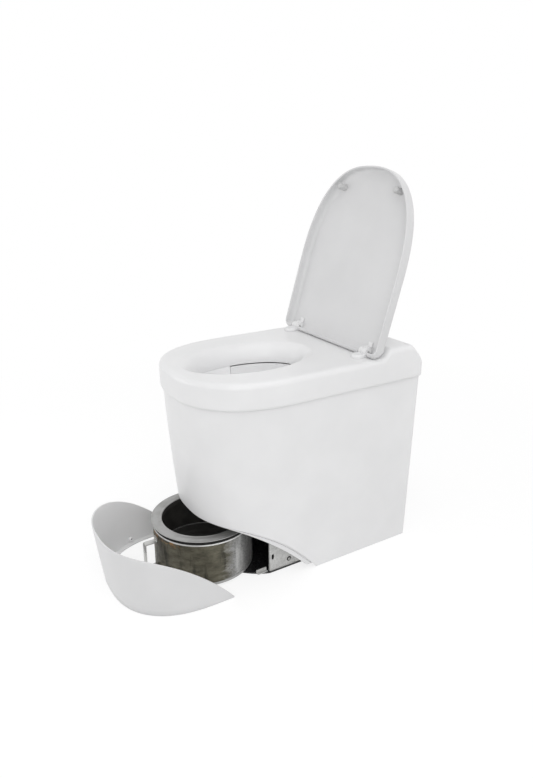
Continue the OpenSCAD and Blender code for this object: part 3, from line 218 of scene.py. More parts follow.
class Palette:
    """Every finish of the object, under the names of the record's slots."""

    white_gloss = Finish("white_gloss", Pattern.PLASTIC, (0.83, 0.83, 0.835), 0.30)
    white_satin = Finish("white_satin", Pattern.PLASTIC, (0.80, 0.80, 0.805), 0.42)
    # Lighter copy of the gloss white, as painted light: on the bowl's front half, on top of the front panel's flange
    # and on the panel's bosses.
    bowl_white = Finish("white_gloss", Pattern.PLASTIC, (0.95, 0.95, 0.955), 0.30, shade="_bowl")
    # Lighter copy of the gloss white for the bowl's rear half: painted light, less than on the front half.
    flap_white = Finish("white_gloss", Pattern.PLASTIC, (0.86, 0.86, 0.865), 0.30, shade="_flap")
    # Lighter copy of the satin white for the inside of the front panel: painted light.
    lining_white = Finish("white_satin", Pattern.PLASTIC, (0.88, 0.88, 0.885), 0.42, shade="_lining")
    # Darker copy of the gloss white for the lid: painted shade.
    lid_white = Finish("white_gloss", Pattern.PLASTIC, (0.70, 0.70, 0.705), 0.30, shade="_lid")
    # Darker copy of the satin white for the front panel's outside: painted shade.
    cover_white = Finish("white_satin", Pattern.PLASTIC, (0.73, 0.73, 0.735), 0.42, shade="_cover")
    white_painted = Finish("white_painted", Pattern.PAINT, (0.78, 0.78, 0.785), 0.45, (0.5, 0.5, 0.48), 0.3)
    galvanised = Finish("galvanised", Pattern.GALVANISED, (0.60, 0.60, 0.59), 0.46, (0.44, 0.44, 0.43), 0.5, 300.0,
                        metal=0.45)
    black_plate = Finish("black_plate", Pattern.GLOSS, (0.012, 0.012, 0.013), 0.22, (0.12, 0.12, 0.12), 0.3)
    stained_steel = Finish("stained_steel", Pattern.STAINED, (0.36, 0.345, 0.31), 0.42, (0.17, 0.115, 0.055), 0.6)
    bright_steel = Finish("bright_steel", Pattern.BRUSHED, (0.56, 0.56, 0.55), 0.28, (0.34, 0.33, 0.32), 0.3)
    zinc = Finish("zinc", Pattern.BRUSHED, (0.50, 0.50, 0.485), 0.36, (0.36, 0.35, 0.33), 0.4, metal=0.7)
    dark_gasket = Finish("dark_gasket", Pattern.FIBRE, (0.010, 0.010, 0.010), 0.92, (0.035, 0.033, 0.03), 0.4, 900.0)
    clear_rubber = Finish("clear_rubber", Pattern.RUBBER, (0.70, 0.70, 0.70), 0.35, (0.5, 0.5, 0.5), 0.2)
    fibre = Finish("fibre", Pattern.FIBRE, (0.74, 0.71, 0.64), 0.95, (0.52, 0.47, 0.38), 0.5, 500.0, 0.3)
    heater = Finish("heater", Pattern.STAINED, (0.16, 0.12, 0.10), 0.5, (0.25, 0.12, 0.05), 0.6)
    motor_case = Finish("motor_case", Pattern.PAINT, (0.09, 0.09, 0.095), 0.5, (0.2, 0.2, 0.2), 0.3)
    black_plastic = Finish("black_plastic", Pattern.PLASTIC, (0.02, 0.02, 0.021), 0.45)
    grey_plastic = Finish("grey_plastic", Pattern.PLASTIC, (0.33, 0.335, 0.34), 0.45)
    ceramic_core = Finish("ceramic_core", Pattern.CERAMIC, (0.55, 0.46, 0.34), 0.85, (0.36, 0.28, 0.19), 0.5)
    board_green = Finish("board_green", Pattern.BOARD, (0.012, 0.10, 0.035), 0.4, (0.05, 0.22, 0.09), 0.6)
    lens = Finish("lens", Pattern.LENS, (0.35, 0.48, 0.58), 0.12, (0.2, 0.3, 0.4), 0.3)
    soot = Finish("soot", Pattern.CERAMIC, (0.035, 0.033, 0.03), 0.75, (0.075, 0.072, 0.066), 0.6)
    # Pan steel: its colour is the real dark of burning, and its second colour is a lighter band of painted
    # reflection.
    scorched = Finish("stained_steel", Pattern.SCORCHED, (0.088, 0.082, 0.060), 0.46, (0.35, 0.35, 0.345), 1.0,
                      metal=0.6, shade="_scorched")
    ring_steel = Finish("bright_steel", Pattern.BRUSHED, (0.42, 0.42, 0.415), 0.46, (0.27, 0.265, 0.25), 0.4,
                        metal=0.65, shade="_ring")
    # Lighter copy of the bright steel: a painted highlight round the top of the ash pan's outer wall.
    rim_steel = Finish("bright_steel", Pattern.BRUSHED, (0.78, 0.78, 0.77), 0.40, (0.60, 0.59, 0.58), 0.4,
                       metal=0.6, shade="_rim")
    ash = Finish("soot", Pattern.CERAMIC, (0.07, 0.068, 0.064), 0.8, (0.12, 0.118, 0.11), 0.7, shade="_ash")
    button_metal = Finish("button_metal", Pattern.BRUSHED, (0.66, 0.66, 0.66), 0.24, (0.48, 0.48, 0.48), 0.3)

    @classmethod
    def named(cls, slot: str) -> Finish:
        """The finish that stands for a slot of the record."""
        return getattr(cls, slot)


Socket = bpy.types.NodeSocket


class Nodes:
    """Adds nodes to the tree of a material or of the world."""

    def __init__(self, tree: bpy.types.NodeTree) -> None:
        """Starts with an empty tree."""
        self.tree = tree
        tree.nodes.clear()

    def link(self, source: Socket, target: Socket) -> None:
        """Joins an output to an input."""
        self.tree.links.new(source, target)

    def feed(self, target: Socket, value: float | Point | Socket) -> None:
        """Sets an input to a value, or links an output to it.

        Args:
            target: the input.
            value: what it gets.
        """
        if isinstance(value, bpy.types.NodeSocket):
            self.link(value, target)
        elif isinstance(value, tuple) and target.type == "RGBA":
            target.default_value = (*value, 1.0)
        else:
            target.default_value = value

    def node(self, kind: str, options: dict[str, str] | None = None,
             inputs: dict[str | int, float | Point | Socket] | None = None) -> bpy.types.Node:
        """Adds a node.

        Args:
            kind: its type, without the word ShaderNode.
            options: its settings.
            inputs: what its inputs get, under their names or numbers.

        Returns:
            The new node.
        """
        node = self.tree.nodes.new("ShaderNode" + kind)
        for key, value in (options or {}).items():
            setattr(node, key, value)
        for key, value in (inputs or {}).items():
            self.feed(node.inputs[key], value)
        return node

    def both(self, operation: str, a: Socket, b: Socket) -> Socket:
        """Result of a sum with two values."""
        return self.node("Math", {"operation": operation}, {0: a, 1: b}).outputs["Value"]

    def seen(self) -> Socket:
        """1 for rays of the camera, of mirrors and of glass, and 0 for other rays.

        Returns:
            The output that carries it.
        """
        path = self.node("LightPath").outputs
        mirror = self.both("MAXIMUM", path["Is Camera Ray"], path["Is Glossy Ray"])
        return self.both("MAXIMUM", mirror, path["Is Transmission Ray"])


class NodeTree(Nodes):
    """Builds the node tree of one material."""

    def __init__(self, name: str) -> None:
        """Starts a material with a Principled shader.

        Args:
            name: name of the material.
        """
        self.material = bpy.data.materials.new(name)
        self.material.use_nodes = True
        super().__init__(self.material.node_tree)
        self.shader = self.node("BsdfPrincipled")
        self.node("OutputMaterial", None, {"Surface": self.shader.outputs["BSDF"]})
        self.coords = self.node("TexCoord").outputs["Object"]

    def set(self, **values: float | Point | Socket) -> None:
        """Feeds the shader's own sockets, named with underscores for spaces."""
        for key, value in values.items():
            self.feed(self.shader.inputs[key.replace("_", " ")], value)

    def stretched(self, stretch: Point) -> Socket:
        """Object coordinates scaled along each axis."""
        return self.node("Mapping", None, {"Scale": stretch, "Vector": self.coords}).outputs["Vector"]

    def noise(self, scale: float, detail: float = 3.0, stretch: Point | None = None, rough: float = 0.5) -> Socket:
        """Noise over the object.

        Args:
            scale: how many features there are in a metre.
            detail: how many octaves it has.
            stretch: scale of the coordinates along each axis.
            rough: how strong its fine octaves are.

        Returns:
            Its value.
        """
        place = self.stretched(stretch) if stretch else self.coords
        return self.node("TexNoise", None, {"Scale": scale, "Detail": detail, "Roughness": rough,
                                            "Vector": place}).outputs["Fac"]

    def cells(self, scale: float, edge: bool = False) -> tuple[Socket, Socket]:
        """Distance and random value of cells.

        Args:
            scale: how many cells there are in a metre.
            edge: measures to the border of a cell, and not to its middle.

        Returns:
            The distance and the random value.
        """
        feature = "DISTANCE_TO_EDGE" if edge else "F1"
        node = self.node("TexVoronoi", {"feature": feature}, {"Scale": scale, "Vector": self.coords})
        near = node.outputs["Distance"]
        if edge:
            return near, near
        return near, self.node("SeparateColor", None, {"Color": node.outputs["Color"]}).outputs["Red"]

    def range(self, value: Socket, low: float, high: float, to_low: float = 0.0, to_high: float = 1.0) -> Socket:
        """Maps a value from one range to another, with its ends clamped."""
        return self.node("MapRange", None, {"Value": value, "From Min": low, "From Max": high, "To Min": to_low,
                                            "To Max": to_high}).outputs["Result"]

    def product(self, a: Socket, b: Socket) -> Socket:
        """Two values multiplied."""
        return self.both("MULTIPLY", a, b)

    def add(self, a: Socket, b: Socket) -> Socket:
        """Two values added."""
        return self.both("ADD", a, b)

    def mix(self, factor: Socket, a: Point | Socket, b: Point | Socket) -> Socket:
        """Colour between two colours, which are the node's inputs 6 and 7."""
        return self.node("Mix", {"data_type": "RGBA"}, {"Factor": factor, 6: a, 7: b}).outputs[2]

    def bump(self, height: Socket, depth: float, under: Socket | None = None) -> Socket:
        """Normal of a relief.

        Args:
            height: the relief, from 0 to 1.
            depth: its depth in millimetres.
            under: normal of a relief that it lies on.

        Returns:
            The normal.
        """
        inputs = {"Distance": depth * MM, "Strength": 1.0, "Height": height}
        if under is not None:
            inputs["Normal"] = under
        return self.node("Bump", None, inputs).outputs["Normal"]

    def along(self, axis: str) -> Socket:
        """One coordinate of the object, in metres."""
        return self.node("SeparateXYZ", None, {"Vector": self.coords}).outputs[axis]


def scaled(colour: Point, by: float) -> Point:
    """A colour made lighter or darker."""
    return (min(colour[0] * by, 1.0), min(colour[1] * by, 1.0), min(colour[2] * by, 1.0))


class Workshop:
    """Makes the material of each finish once.

    Its places are in metres: the y over which the pan's wall turns from burnt dark to a lighter band of painted
    reflection, and the z and y over which rust sets in.
    """

    RUST: Point = (0.30, 0.15, 0.05)
    CARBON: Point = (0.035, 0.03, 0.026)
    # Y over which the pan's wall turns to its band of painted reflection.
    WIPED_Y: Flat = (-0.236, -0.200)
    RUST_Z: Flat = (0.101, 0.113)
    RUST_Y: Flat = (-0.322, -0.332)

    def __init__(self) -> None:
        """Starts with no materials."""
        self.made: dict[str, bpy.types.Material] = {}
        self.recipes: dict[Pattern, Callable[[NodeTree, Finish], None]] = {
            Pattern.PLASTIC: self.plastic,
            Pattern.PAINT: self.paint,
            Pattern.GALVANISED: self.galvanised,
            Pattern.STAINED: self.stained,
            Pattern.SCORCHED: self.scorched,
            Pattern.BRUSHED: self.brushed,
            Pattern.GLOSS: self.gloss,
            Pattern.RUBBER: self.rubber,
            Pattern.FIBRE: self.fibre,
            Pattern.CERAMIC: self.ceramic,
            Pattern.BOARD: self.board,
            Pattern.LENS: self.lens,
        }

    def material(self, finish: Finish) -> bpy.types.Material:
        """The material of a finish.

        Args:
            finish: the finish.

        Returns:
            Its material, made when it is first asked for.
        """
        name = finish.name + finish.shade
        if name not in self.made:
            tree = NodeTree(name)
            self.recipes[finish.pattern](tree, finish)
            self.made[name] = tree.material
        return self.made[name]

    def plastic(self, tree: NodeTree, finish: Finish) -> None:
        """Moulded plastic: one gloss, with a faint mottling of the colour.

        Args:
            tree: the node tree to fill.
            finish: the finish that it shows.
        """
        mottle = tree.noise(9.0, 4.0)
        base = tree.mix(tree.range(mottle, 0.35, 0.65), scaled(finish.colour, 0.975), scaled(finish.colour, 1.012))
        tree.set(Base_Color=base, Roughness=finish.roughness, IOR=1.48)

    def paint(self, tree: NodeTree, finish: Finish) -> None:
        """Powder coat: orange peel with slightly rubbed patches.

        Args:
            tree: the node tree to fill.
            finish: the finish that it shows.
        """
        rub = tree.range(tree.noise(24.0, 5.0, rough=0.6), 0.52, 0.72)
        base = tree.mix(tree.product(rub, tree.range(rub, 0.0, 1.0, 0.0, finish.amount)), finish.colour,
                        finish.second)
        tree.set(Base_Color=base,
                 Roughness=tree.range(rub, 0.0, 1.0, finish.roughness, finish.roughness - 0.08),
                 Normal=tree.bump(tree.noise(420.0, 2.0), finish.relief))

    def galvanised(self, tree: NodeTree, finish: Finish) -> None:
        """Zinc spangle: crystals of different greys, with fine white bloom and a few dark scratches.

        Args:
            tree: the node tree to fill.
            finish: the finish that it shows.
        """
        _, pick = tree.cells(finish.grain)
        bloom = tree.range(tree.noise(60.0, 6.0, rough=0.7), 0.45, 0.7)
        crystal = tree.mix(tree.range(pick, 0.0, 1.0, 0.0, finish.amount), finish.colour, finish.second)
        base = tree.mix(tree.product(bloom, bloom), crystal, scaled(finish.colour, 1.25))
        scratch = tree.range(tree.noise(90.0, 2.0, (1.0, 1.0, 14.0)), 0.62, 0.70)
        tree.set(Base_Color=tree.mix(tree.range(scratch, 0.0, 1.0, 0.0, 0.35), base, scaled(finish.second, 0.6)),
                 Metallic=finish.metal,
                 Roughness=tree.range(pick, 0.0, 1.0, finish.roughness - 0.08, finish.roughness + 0.14),
                 Normal=tree.bump(pick, finish.relief))

    def stained(self, tree: NodeTree, finish: Finish) -> None:
        """Steel that has been hot: brown and straw clouds, pale runs down the wall and fine scratches.

        Args:
            tree: the node tree to fill.
            finish: the finish that it shows.
        """
        cloud = tree.noise(14.0, 6.0, (1.0, 1.0, 0.55), 0.62)
        runs = tree.noise(60.0, 4.0, (1.0, 1.0, 0.08), 0.6)
        soot = tree.noise(38.0, 6.0, None, 0.7)
        hot = tree.mix(tree.range(cloud, 0.42, 0.62, 0.0, finish.amount), finish.colour, finish.second)
        pale = tree.mix(tree.product(tree.range(runs, 0.52, 0.66), tree.range(cloud, 0.62, 0.4)), hot,
                        scaled(finish.colour, 1.55))
        base = tree.mix(tree.range(soot, 0.58, 0.74, 0.0, 0.7), pale, self.CARBON)
        lines = tree.noise(500.0, 2.0, (0.15, 0.15, 6.0))
        tree.set(Base_Color=base, Metallic=tree.range(soot, 0.55, 0.75, 0.92, 0.5),
                 Roughness=tree.range(cloud, 0.35, 0.65, finish.roughness - 0.12, finish.roughness + 0.16),
                 Normal=tree.bump(lines, finish.relief * 0.5, tree.bump(tree.noise(26.0, 3.0), 0.35)))

    def scorched(self, tree: NodeTree, finish: Finish) -> None:
        """Pan that has stood in the fire: dark from burning on one side, and on the other a lighter band of painted
        reflection, with runs and rust at its rim.

        Args:
            tree: the node tree to fill.
            finish: the finish that it shows.
        """
        cloud = tree.noise(30.0, 6.0, (1.0, 1.0, 2.6), 0.65)
        fine = tree.noise(160.0, 5.0, (1.0, 1.0, 1.8), 0.7)
        runs = tree.noise(44.0, 4.0, (1.0, 1.0, 0.18), 0.6)
        dark = tree.mix(tree.range(cloud, 0.40, 0.66), finish.colour, scaled(finish.colour, 2.0))
        dark = tree.mix(tree.range(runs, 0.54, 0.66, 0.0, 0.8), dark, scaled(finish.colour, 0.25))
        # A lighter band of painted reflection, with pale runs on it.
        reflection_band = tree.mix(tree.range(fine, 0.40, 0.64), finish.second, scaled(finish.second, 0.55))
        reflection_band = tree.mix(tree.range(runs, 0.50, 0.62, 0.0, 0.6), reflection_band, scaled(finish.second, 1.7))
        side = tree.add(tree.along("Y"), tree.range(cloud, 0.3, 0.7, -0.02, 0.02))
        base = tree.mix(tree.range(side, *self.WIPED_Y), dark, reflection_band)
        high = tree.product(tree.range(tree.along("Z"), *self.RUST_Z), tree.range(tree.along("Y"), *self.RUST_Y))
        rust = tree.product(tree.range(tree.noise(90.0, 3.0), 0.50, 0.60), high)
        tree.set(Base_Color=tree.mix(rust, base, self.RUST),
                 Metallic=tree.range(rust, 0.0, 1.0, finish.metal, 0.1),
                 Roughness=tree.range(fine, 0.35, 0.65, finish.roughness - 0.08, finish.roughness + 0.16),
                 Normal=tree.bump(fine, finish.relief * 2, tree.bump(tree.noise(22.0, 3.0), 0.4)))

    def brushed(self, tree: NodeTree, finish: Finish) -> None:
        """Brushed steel: fine lines, soft smudges and worn places.

        Args:
            tree: the node tree to fill.
            finish: the finish that it shows.
        """
        lines = tree.noise(700.0, 2.0, (1.0, 1.0, 0.06))
        smudge = tree.noise(32.0, 5.0, None, 0.6)
        base = tree.mix(tree.range(smudge, 0.45, 0.7, 0.0, finish.amount), finish.colour, finish.second)
        tree.set(Base_Color=base, Metallic=finish.metal,
                 Roughness=tree.range(smudge, 0.3, 0.7, finish.roughness - 0.05, finish.roughness + 0.12),
                 Normal=tree.bump(lines, finish.relief * 0.4))

    def gloss(self, tree: NodeTree, finish: Finish) -> None:
        """Enamelled plate: dark and smooth, with dust and rubbed streaks.

        Args:
            tree: the node tree to fill.
            finish: the finish that it shows.
        """
        dust = tree.noise(70.0, 7.0, None, 0.72)
        base = tree.mix(tree.range(dust, 0.55, 0.78, 0.0, finish.amount), finish.colour, finish.second)
        tree.set(Base_Color=base, IOR=1.5,
                 Roughness=tree.range(dust, 0.4, 0.7, finish.roughness, finish.roughness + 0.3),
                 Normal=tree.bump(tree.noise(180.0), finish.relief))

    def rubber(self, tree: NodeTree, finish: Finish) -> None:
        """Clear soft rubber: slightly see-through, with dust on it.

        Args:
            tree: the node tree to fill.
            finish: the finish that it shows.
        """
        dust = tree.noise(300.0, 4.0)
        tree.set(Base_Color=tree.mix(tree.range(dust, 0.5, 0.7, 0.0, finish.amount), finish.colour, finish.second),
                 Roughness=tree.range(dust, 0.3, 0.7, finish.roughness - 0.08, finish.roughness + 0.1),
                 Normal=tree.bump(dust, finish.relief))
        tree.set(Transmission_Weight=0.25, IOR=1.43)

    def fibre(self, tree: NodeTree, finish: Finish) -> None:
        """Fibre: matted strands with lighter tufts.

        Args:
            tree: the node tree to fill.
            finish: the finish that it shows.
        """
        strand = tree.noise(finish.grain, 4.0, (1.0, 1.0, 0.3), 0.7)
        tree.set(Base_Color=tree.mix(tree.range(strand, 0.4, 0.65, 0.0, finish.amount), finish.colour, finish.second),
                 Roughness=tree.range(strand, 0.3, 0.7, finish.roughness - 0.05, 1.0),
                 Normal=tree.bump(strand, finish.relief * 4))

    def ceramic(self, tree: NodeTree, finish: Finish) -> None:
        """Fired ceramic: open pores and a warm stain.

        Args:
            tree: the node tree to fill.
            finish: the finish that it shows.
        """
        near, _ = tree.cells(1400.0)
        stain = tree.noise(40.0, 4.0)
        tree.set(Base_Color=tree.mix(tree.range(stain, 0.4, 0.65, 0.0, finish.amount), finish.colour, finish.second),
                 Roughness=tree.range(stain, 0.3, 0.7, finish.roughness - 0.08, finish.roughness + 0.1),
                 Normal=tree.bump(tree.range(near, 0.0, 0.3), 0.15))

    def board(self, tree: NodeTree, finish: Finish) -> None:
        """Circuit board: green lacquer over raised tracks.

        Args:
            tree: the node tree to fill.
            finish: the finish that it shows.
        """
        edge, _ = tree.cells(160.0, edge=True)
        track = tree.range(edge, 0.03, 0.06, 1.0, 0.0)
        tree.set(Base_Color=tree.mix(tree.range(track, 0.0, 1.0, 0.0, finish.amount), finish.colour, finish.second),
                 Roughness=tree.range(track, 0.0, 1.0, finish.roughness, finish.roughness - 0.1),
                 Normal=tree.bump(track, 0.05))

    def lens(self, tree: NodeTree, finish: Finish) -> None:
        """Moulded lens: clear plastic over a faintly ribbed core.

        Args:
            tree: the node tree to fill.
            finish: the finish that it shows.
        """
        core = tree.noise(900.0, 1.0, (1.0, 0.2, 0.2))
        tree.set(Base_Color=tree.mix(tree.range(core, 0.4, 0.6, 0.0, finish.amount), finish.colour, finish.second),
                 Roughness=tree.range(core, 0.3, 0.7, finish.roughness, finish.roughness + 0.06),
                 Normal=tree.bump(core, 0.02))
        tree.set(Transmission_Weight=0.55, IOR=1.49)


class Shape:
    """A mesh under construction, in millimetres."""

    def __init__(self) -> None:
        """Starts empty."""
        self.points: list[Point] = []
        self.faces: list[tuple[int, ...]] = []

    def add(self, row: Iterable[Point]) -> list[int]:
        """Adds points.

        Args:
            row: the points.

        Returns:
            Their numbers.
        """
        first = len(self.points)
        self.points.extend(row)
        return list(range(first, len(self.points)))

    def loft(self, rows: Sequence[Row], ring: bool = False, closed: bool = True, caps: bool = True) -> "Shape":
        """Skins rows of equal length.

        Args:
            rows: the rows of points, in order.
            ring: the last row joins the first.
            closed: each row is a loop.
            caps: the first and last rows are closed with a face.

        Returns:
            This shape.
        """
        ids = [self.add(row) for row in rows]
        count, width = len(ids), len(ids[0])
        for i in range(count if ring else count - 1):
            here, there = ids[i], ids[(i + 1) % count]
            for j in range(width if closed else width - 1):
                k = (j + 1) % width
                self.faces.append((here[j], here[k], there[k], there[j]))
        if caps and closed and not ring:
            self.faces.append(tuple(ids[0]))
            self.faces.append(tuple(reversed(ids[-1])))
        return self

    def turned(self, profile: Sequence[Flat], centre: Point, axis: Axis = Axis.Z, steps: int = 96,
               wave: Callable[[float, float], float] | None = None) -> "Shape":
        """Turns a closed profile of radius and height about an axis.

        Args:
            profile: radius and height of each point, as a loop.
            centre: the point of the axis at height 0.
            axis: the direction of the axis.
            steps: how many sections there are in a turn.
            wave: change of the radius at an angle and a height.

        Returns:
            This shape.
        """
        rows = []
        for i in range(steps):
            a = 2 * math.pi * i / steps
            row = []
            for r, h in profile:
                s = r + (wave(a, h) if wave and r > 1 else 0.0)
                x, y, z = axis.place(s * math.cos(a), s * math.sin(a), h)
                row.append((x + centre[0], y + centre[1], z + centre[2]))
            rows.append(row)
        return self.loft(rows, ring=True)

    def plug(self, r: float, low: float, high: float, centre: Point, axis: Axis = Axis.Z, steps: int = 96) -> "Shape":
        """A round plug between two heights over a point of its axis."""
        return self.turned([(0, low), (r, low), (r, high), (0, high)], centre, axis, steps)

    def prism(self, outline: Sequence[Flat], low: float, high: float, axis: Axis = Axis.X) -> "Shape":
        """Extrudes a loop of two coordinates across an axis between two places along it."""
        rows = [[axis.place(a, b, along) for a, b in outline] for along in (low, high)]
        return self.loft(rows)

    def block(self, low: Point, high: Point) -> "Shape":
        """A block between two corners."""
        loop = [(low[0], low[1]), (high[0], low[1]), (high[0], high[1]), (low[0], high[1])]
        return self.prism(loop, low[2], high[2], Axis.Z)

    def moved(self, by: Point) -> "Shape":
        """Moves every point."""
        self.points = [(x + by[0], y + by[1], z + by[2]) for x, y, z in self.points]
        return self

    def rotated(self, matrix: Matrix) -> "Shape":
        """Turns every point by a matrix in millimetres."""
        self.points = [tuple(matrix @ Vector(p)) for p in self.points]
        return self

    def mirrored(self, signs: Point = (-1, 1, 1)) -> "Shape":
        """A copy on the other side of the middle, or of another plane.

        Args:
            signs: what each coordinate is multiplied by.

        Returns:
            The copy.
        """
        other = Shape()
        other.points = [(x * signs[0], y * signs[1], z * signs[2]) for x, y, z in self.points]
        other.faces = [tuple(reversed(f)) for f in self.faces]
        return other

    def join(self, other: "Shape") -> "Shape":
        """Adds another shape's mesh to this one.

        Args:
            other: the other shape.

        Returns:
            This shape.
        """
        first = len(self.points)
        self.points.extend(other.points)
        self.faces.extend(tuple(i + first for i in f) for f in other.faces)
        return self

    def both_sides(self) -> "Shape":
        """Adds the mirror image."""
        return self.join(self.mirrored())

    def mesh(self, name: str) -> bpy.types.Mesh:
        """The shape as a clean mesh in metres.

        Args:
            name: name of the mesh.

        Returns:
            The mesh.
        """
        data = bpy.data.meshes.new(name)
        data.from_pydata([(x * MM, y * MM, z * MM) for x, y, z in self.points], [], self.faces)
        bm = bmesh.new()
        bm.from_mesh(data)
        bmesh.ops.remove_doubles(bm, verts=bm.verts, dist=WELD)
        bmesh.ops.dissolve_degenerate(bm, dist=TINY, edges=bm.edges)
        bmesh.ops.recalc_face_normals(bm, faces=bm.faces)
        bm.to_mesh(data)
        bm.free()
        return data


def settle(piece: bpy.types.Object) -> None:
    """Bakes the piece's modifiers into its mesh.

    Args:
        piece: the piece.
    """
    bpy.context.view_layer.update()
    graph = bpy.context.evaluated_depsgraph_get()
    data = bpy.data.meshes.new_from_object(piece.evaluated_get(graph))
    piece.modifiers.clear()
    piece.data = data


def shade(piece: bpy.types.Object, sharp: float) -> None:
    """Shades smooth, with edges over an angle in degrees kept sharp.

    Args:
        piece: the piece.
        sharp: the angle.
    """
    bm = bmesh.new()
    bm.from_mesh(piece.data)
    for face in bm.faces:
        face.smooth = True
    for edge in bm.edges:
        edge.smooth = edge.calc_face_angle(0.0) < rad(sharp)
    bm.to_mesh(piece.data)
    bm.free()


@dataclass(frozen=True)
class Patch:
    """Another finish for the faces of a piece that pass a test.

    Args:
        finish: the other finish.
        covers: tells from the middle of a face in millimetres, and from its normal, whether it has that finish.
    """

    finish: Finish
    covers: Callable[[Vector, Vector], bool]


@dataclass
class SubAssembly:
    """A group of pieces that belong together, in millimetres."""

    shop: Workshop
    made: list[bpy.types.Object] = field(default_factory=list)

    def piece(self, shape: Shape, name: str, finish: Finish, body: str, nodes: Sequence[str],
              bevel: float = 0.0, sharp: float = 35.0, cut: Shape | None = None,
              patches: Sequence[Patch] = ()) -> None:
        """Turns a shape into a piece of the object.

        Args:
            shape: its mesh in millimetres.
            name: its name.
            finish: its finish.
            body: the body that it rides on.
            nodes: the CAD nodes that it stands for.
            bevel: width of the rounding on its sharp edges, in millimetres.
            sharp: angle in degrees over which an edge stays sharp.
            cut: a shape to take away from it first.
            patches: other finishes for some of its faces, of which the last that covers a face counts.
        """
        piece = bpy.data.objects.new(name, shape.mesh(name))
        bpy.context.scene.collection.objects.link(piece)
        if cut:
            tool = bpy.data.objects.new(name + "_cut", cut.mesh(name + "_cut"))
            bpy.context.scene.collection.objects.link(tool)
            mod = piece.modifiers.new("cut", "BOOLEAN")
            mod.operation, mod.solver, mod.object = "DIFFERENCE", "EXACT", tool
            settle(piece)
            bpy.data.objects.remove(tool)
        if bevel:
            mod = piece.modifiers.new("edge", "BEVEL")
            mod.width, mod.segments = bevel * MM, BEVEL_STEPS
            mod.limit_method, mod.angle_limit = "ANGLE", rad(BEVEL_OVER)
            settle(piece)
        shade(piece, sharp)
        piece.data.materials.clear()
        piece.data.materials.append(self.shop.material(finish))
        for patch in patches:
            piece.data.materials.append(self.shop.material(patch.finish))
            for face in piece.data.polygons:
                if patch.covers(face.center / MM, face.normal):
                    face.material_index = len(piece.data.materials) - 1
        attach(piece, body)
        if nodes:
            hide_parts(*nodes)
        self.made.append(piece)
        LOG.info("%s: %d faces on %s", name, len(piece.data.polygons), body)

    def build(self) -> None:
        """Builds and dresses the pieces."""
        raise NotImplementedError


class Side(Enum):
    """Parts of the outline of the body."""

    RIGHT = 0
    FRONT = 1
    LEFT = 2
    LEFT_CORNER = 3
    REAR = 4
    RIGHT_CORNER = 5


Station = tuple[Side, float]


def front_arc(steps: int) -> list[Station]:
    """Stations round the front, from the right side to the left, closer together at its ends."""
    return [(Side.FRONT, 90 - 90 * math.cos(math.pi * t)) for t in span(0, 1, steps)]


def round_front(parts: Sequence[float], steps: int) -> list[Station]:
    """Stations along the right side, round the front and along the left side."""
    return [*[(Side.RIGHT, f) for f in reversed(parts)], *front_arc(steps), *[(Side.LEFT, f) for f in parts]]


def round_body(parts: Sequence[float], turn: Sequence[float], rear: Sequence[float], steps: int) -> list[Station]:
    """Stations all the way round, which start with the front.

    Args:
        parts: shares of each straight side.
        turn: angles in degrees of each rear corner.
        rear: shares of the rear edge, from the left to the right.
        steps: how many steps there are round the front.

    Returns:
        The stations.
    """
    return [*front_arc(steps), *[(Side.LEFT, f) for f in parts], *[(Side.LEFT_CORNER, a) for a in turn],
            *[(Side.REAR, f) for f in rear], *[(Side.RIGHT_CORNER, a) for a in reversed(turn)],
            *[(Side.RIGHT, f) for f in reversed(parts)]]


@dataclass(frozen=True)
class Outline:
    """Plan of one level of the body: a squarish front curve, straight sides and a rear edge.

    Args:
        half_w: half width.
        front: length of the front curve.
        start: y at which the straight sides begin.
        rear: y of the rear edge.
        corner: radius of the rear corners.
        power: squareness of the front curve.
    """

    half_w: float
    front: float
    start: float
    rear: float
    corner: float
    power: float = 2.5

    def inset(self, by: float, least: float = 1.0) -> "Outline":
        """The same outline drawn in."""
        return Outline(self.half_w - by, self.front - by, self.start, self.rear - by,
                       max(self.corner - by, least), self.power)

    def spot(self, station: Station) -> Flat:
        """Place of a station on the outline.

        Args:
            station: the station.

        Returns:
            Its x and y.
        """
        side, value = station
        straight = self.rear - self.corner - self.start
        if side is Side.FRONT:
            c, s = cos(value), max(sin(value), 0.0)
            return (math.copysign(self.half_w * abs(c) ** (2 / self.power), c),
                    self.start - self.front * s ** (2 / self.power))
        if side is Side.REAR:
            return ((self.half_w - self.corner) * value, self.rear)
        hand = -1 if side in (Side.LEFT, Side.LEFT_CORNER) else 1
        if side in (Side.LEFT, Side.RIGHT):
            return (hand * self.half_w, self.start + straight * value)
        return (hand * (self.half_w - self.corner + self.corner * cos(value)),
                self.rear - self.corner + self.corner * sin(value))

    def part(self, y: float) -> float:
        """Share of the straight side at which it passes a y."""
        return (y - self.start) / (self.rear - self.corner - self.start)


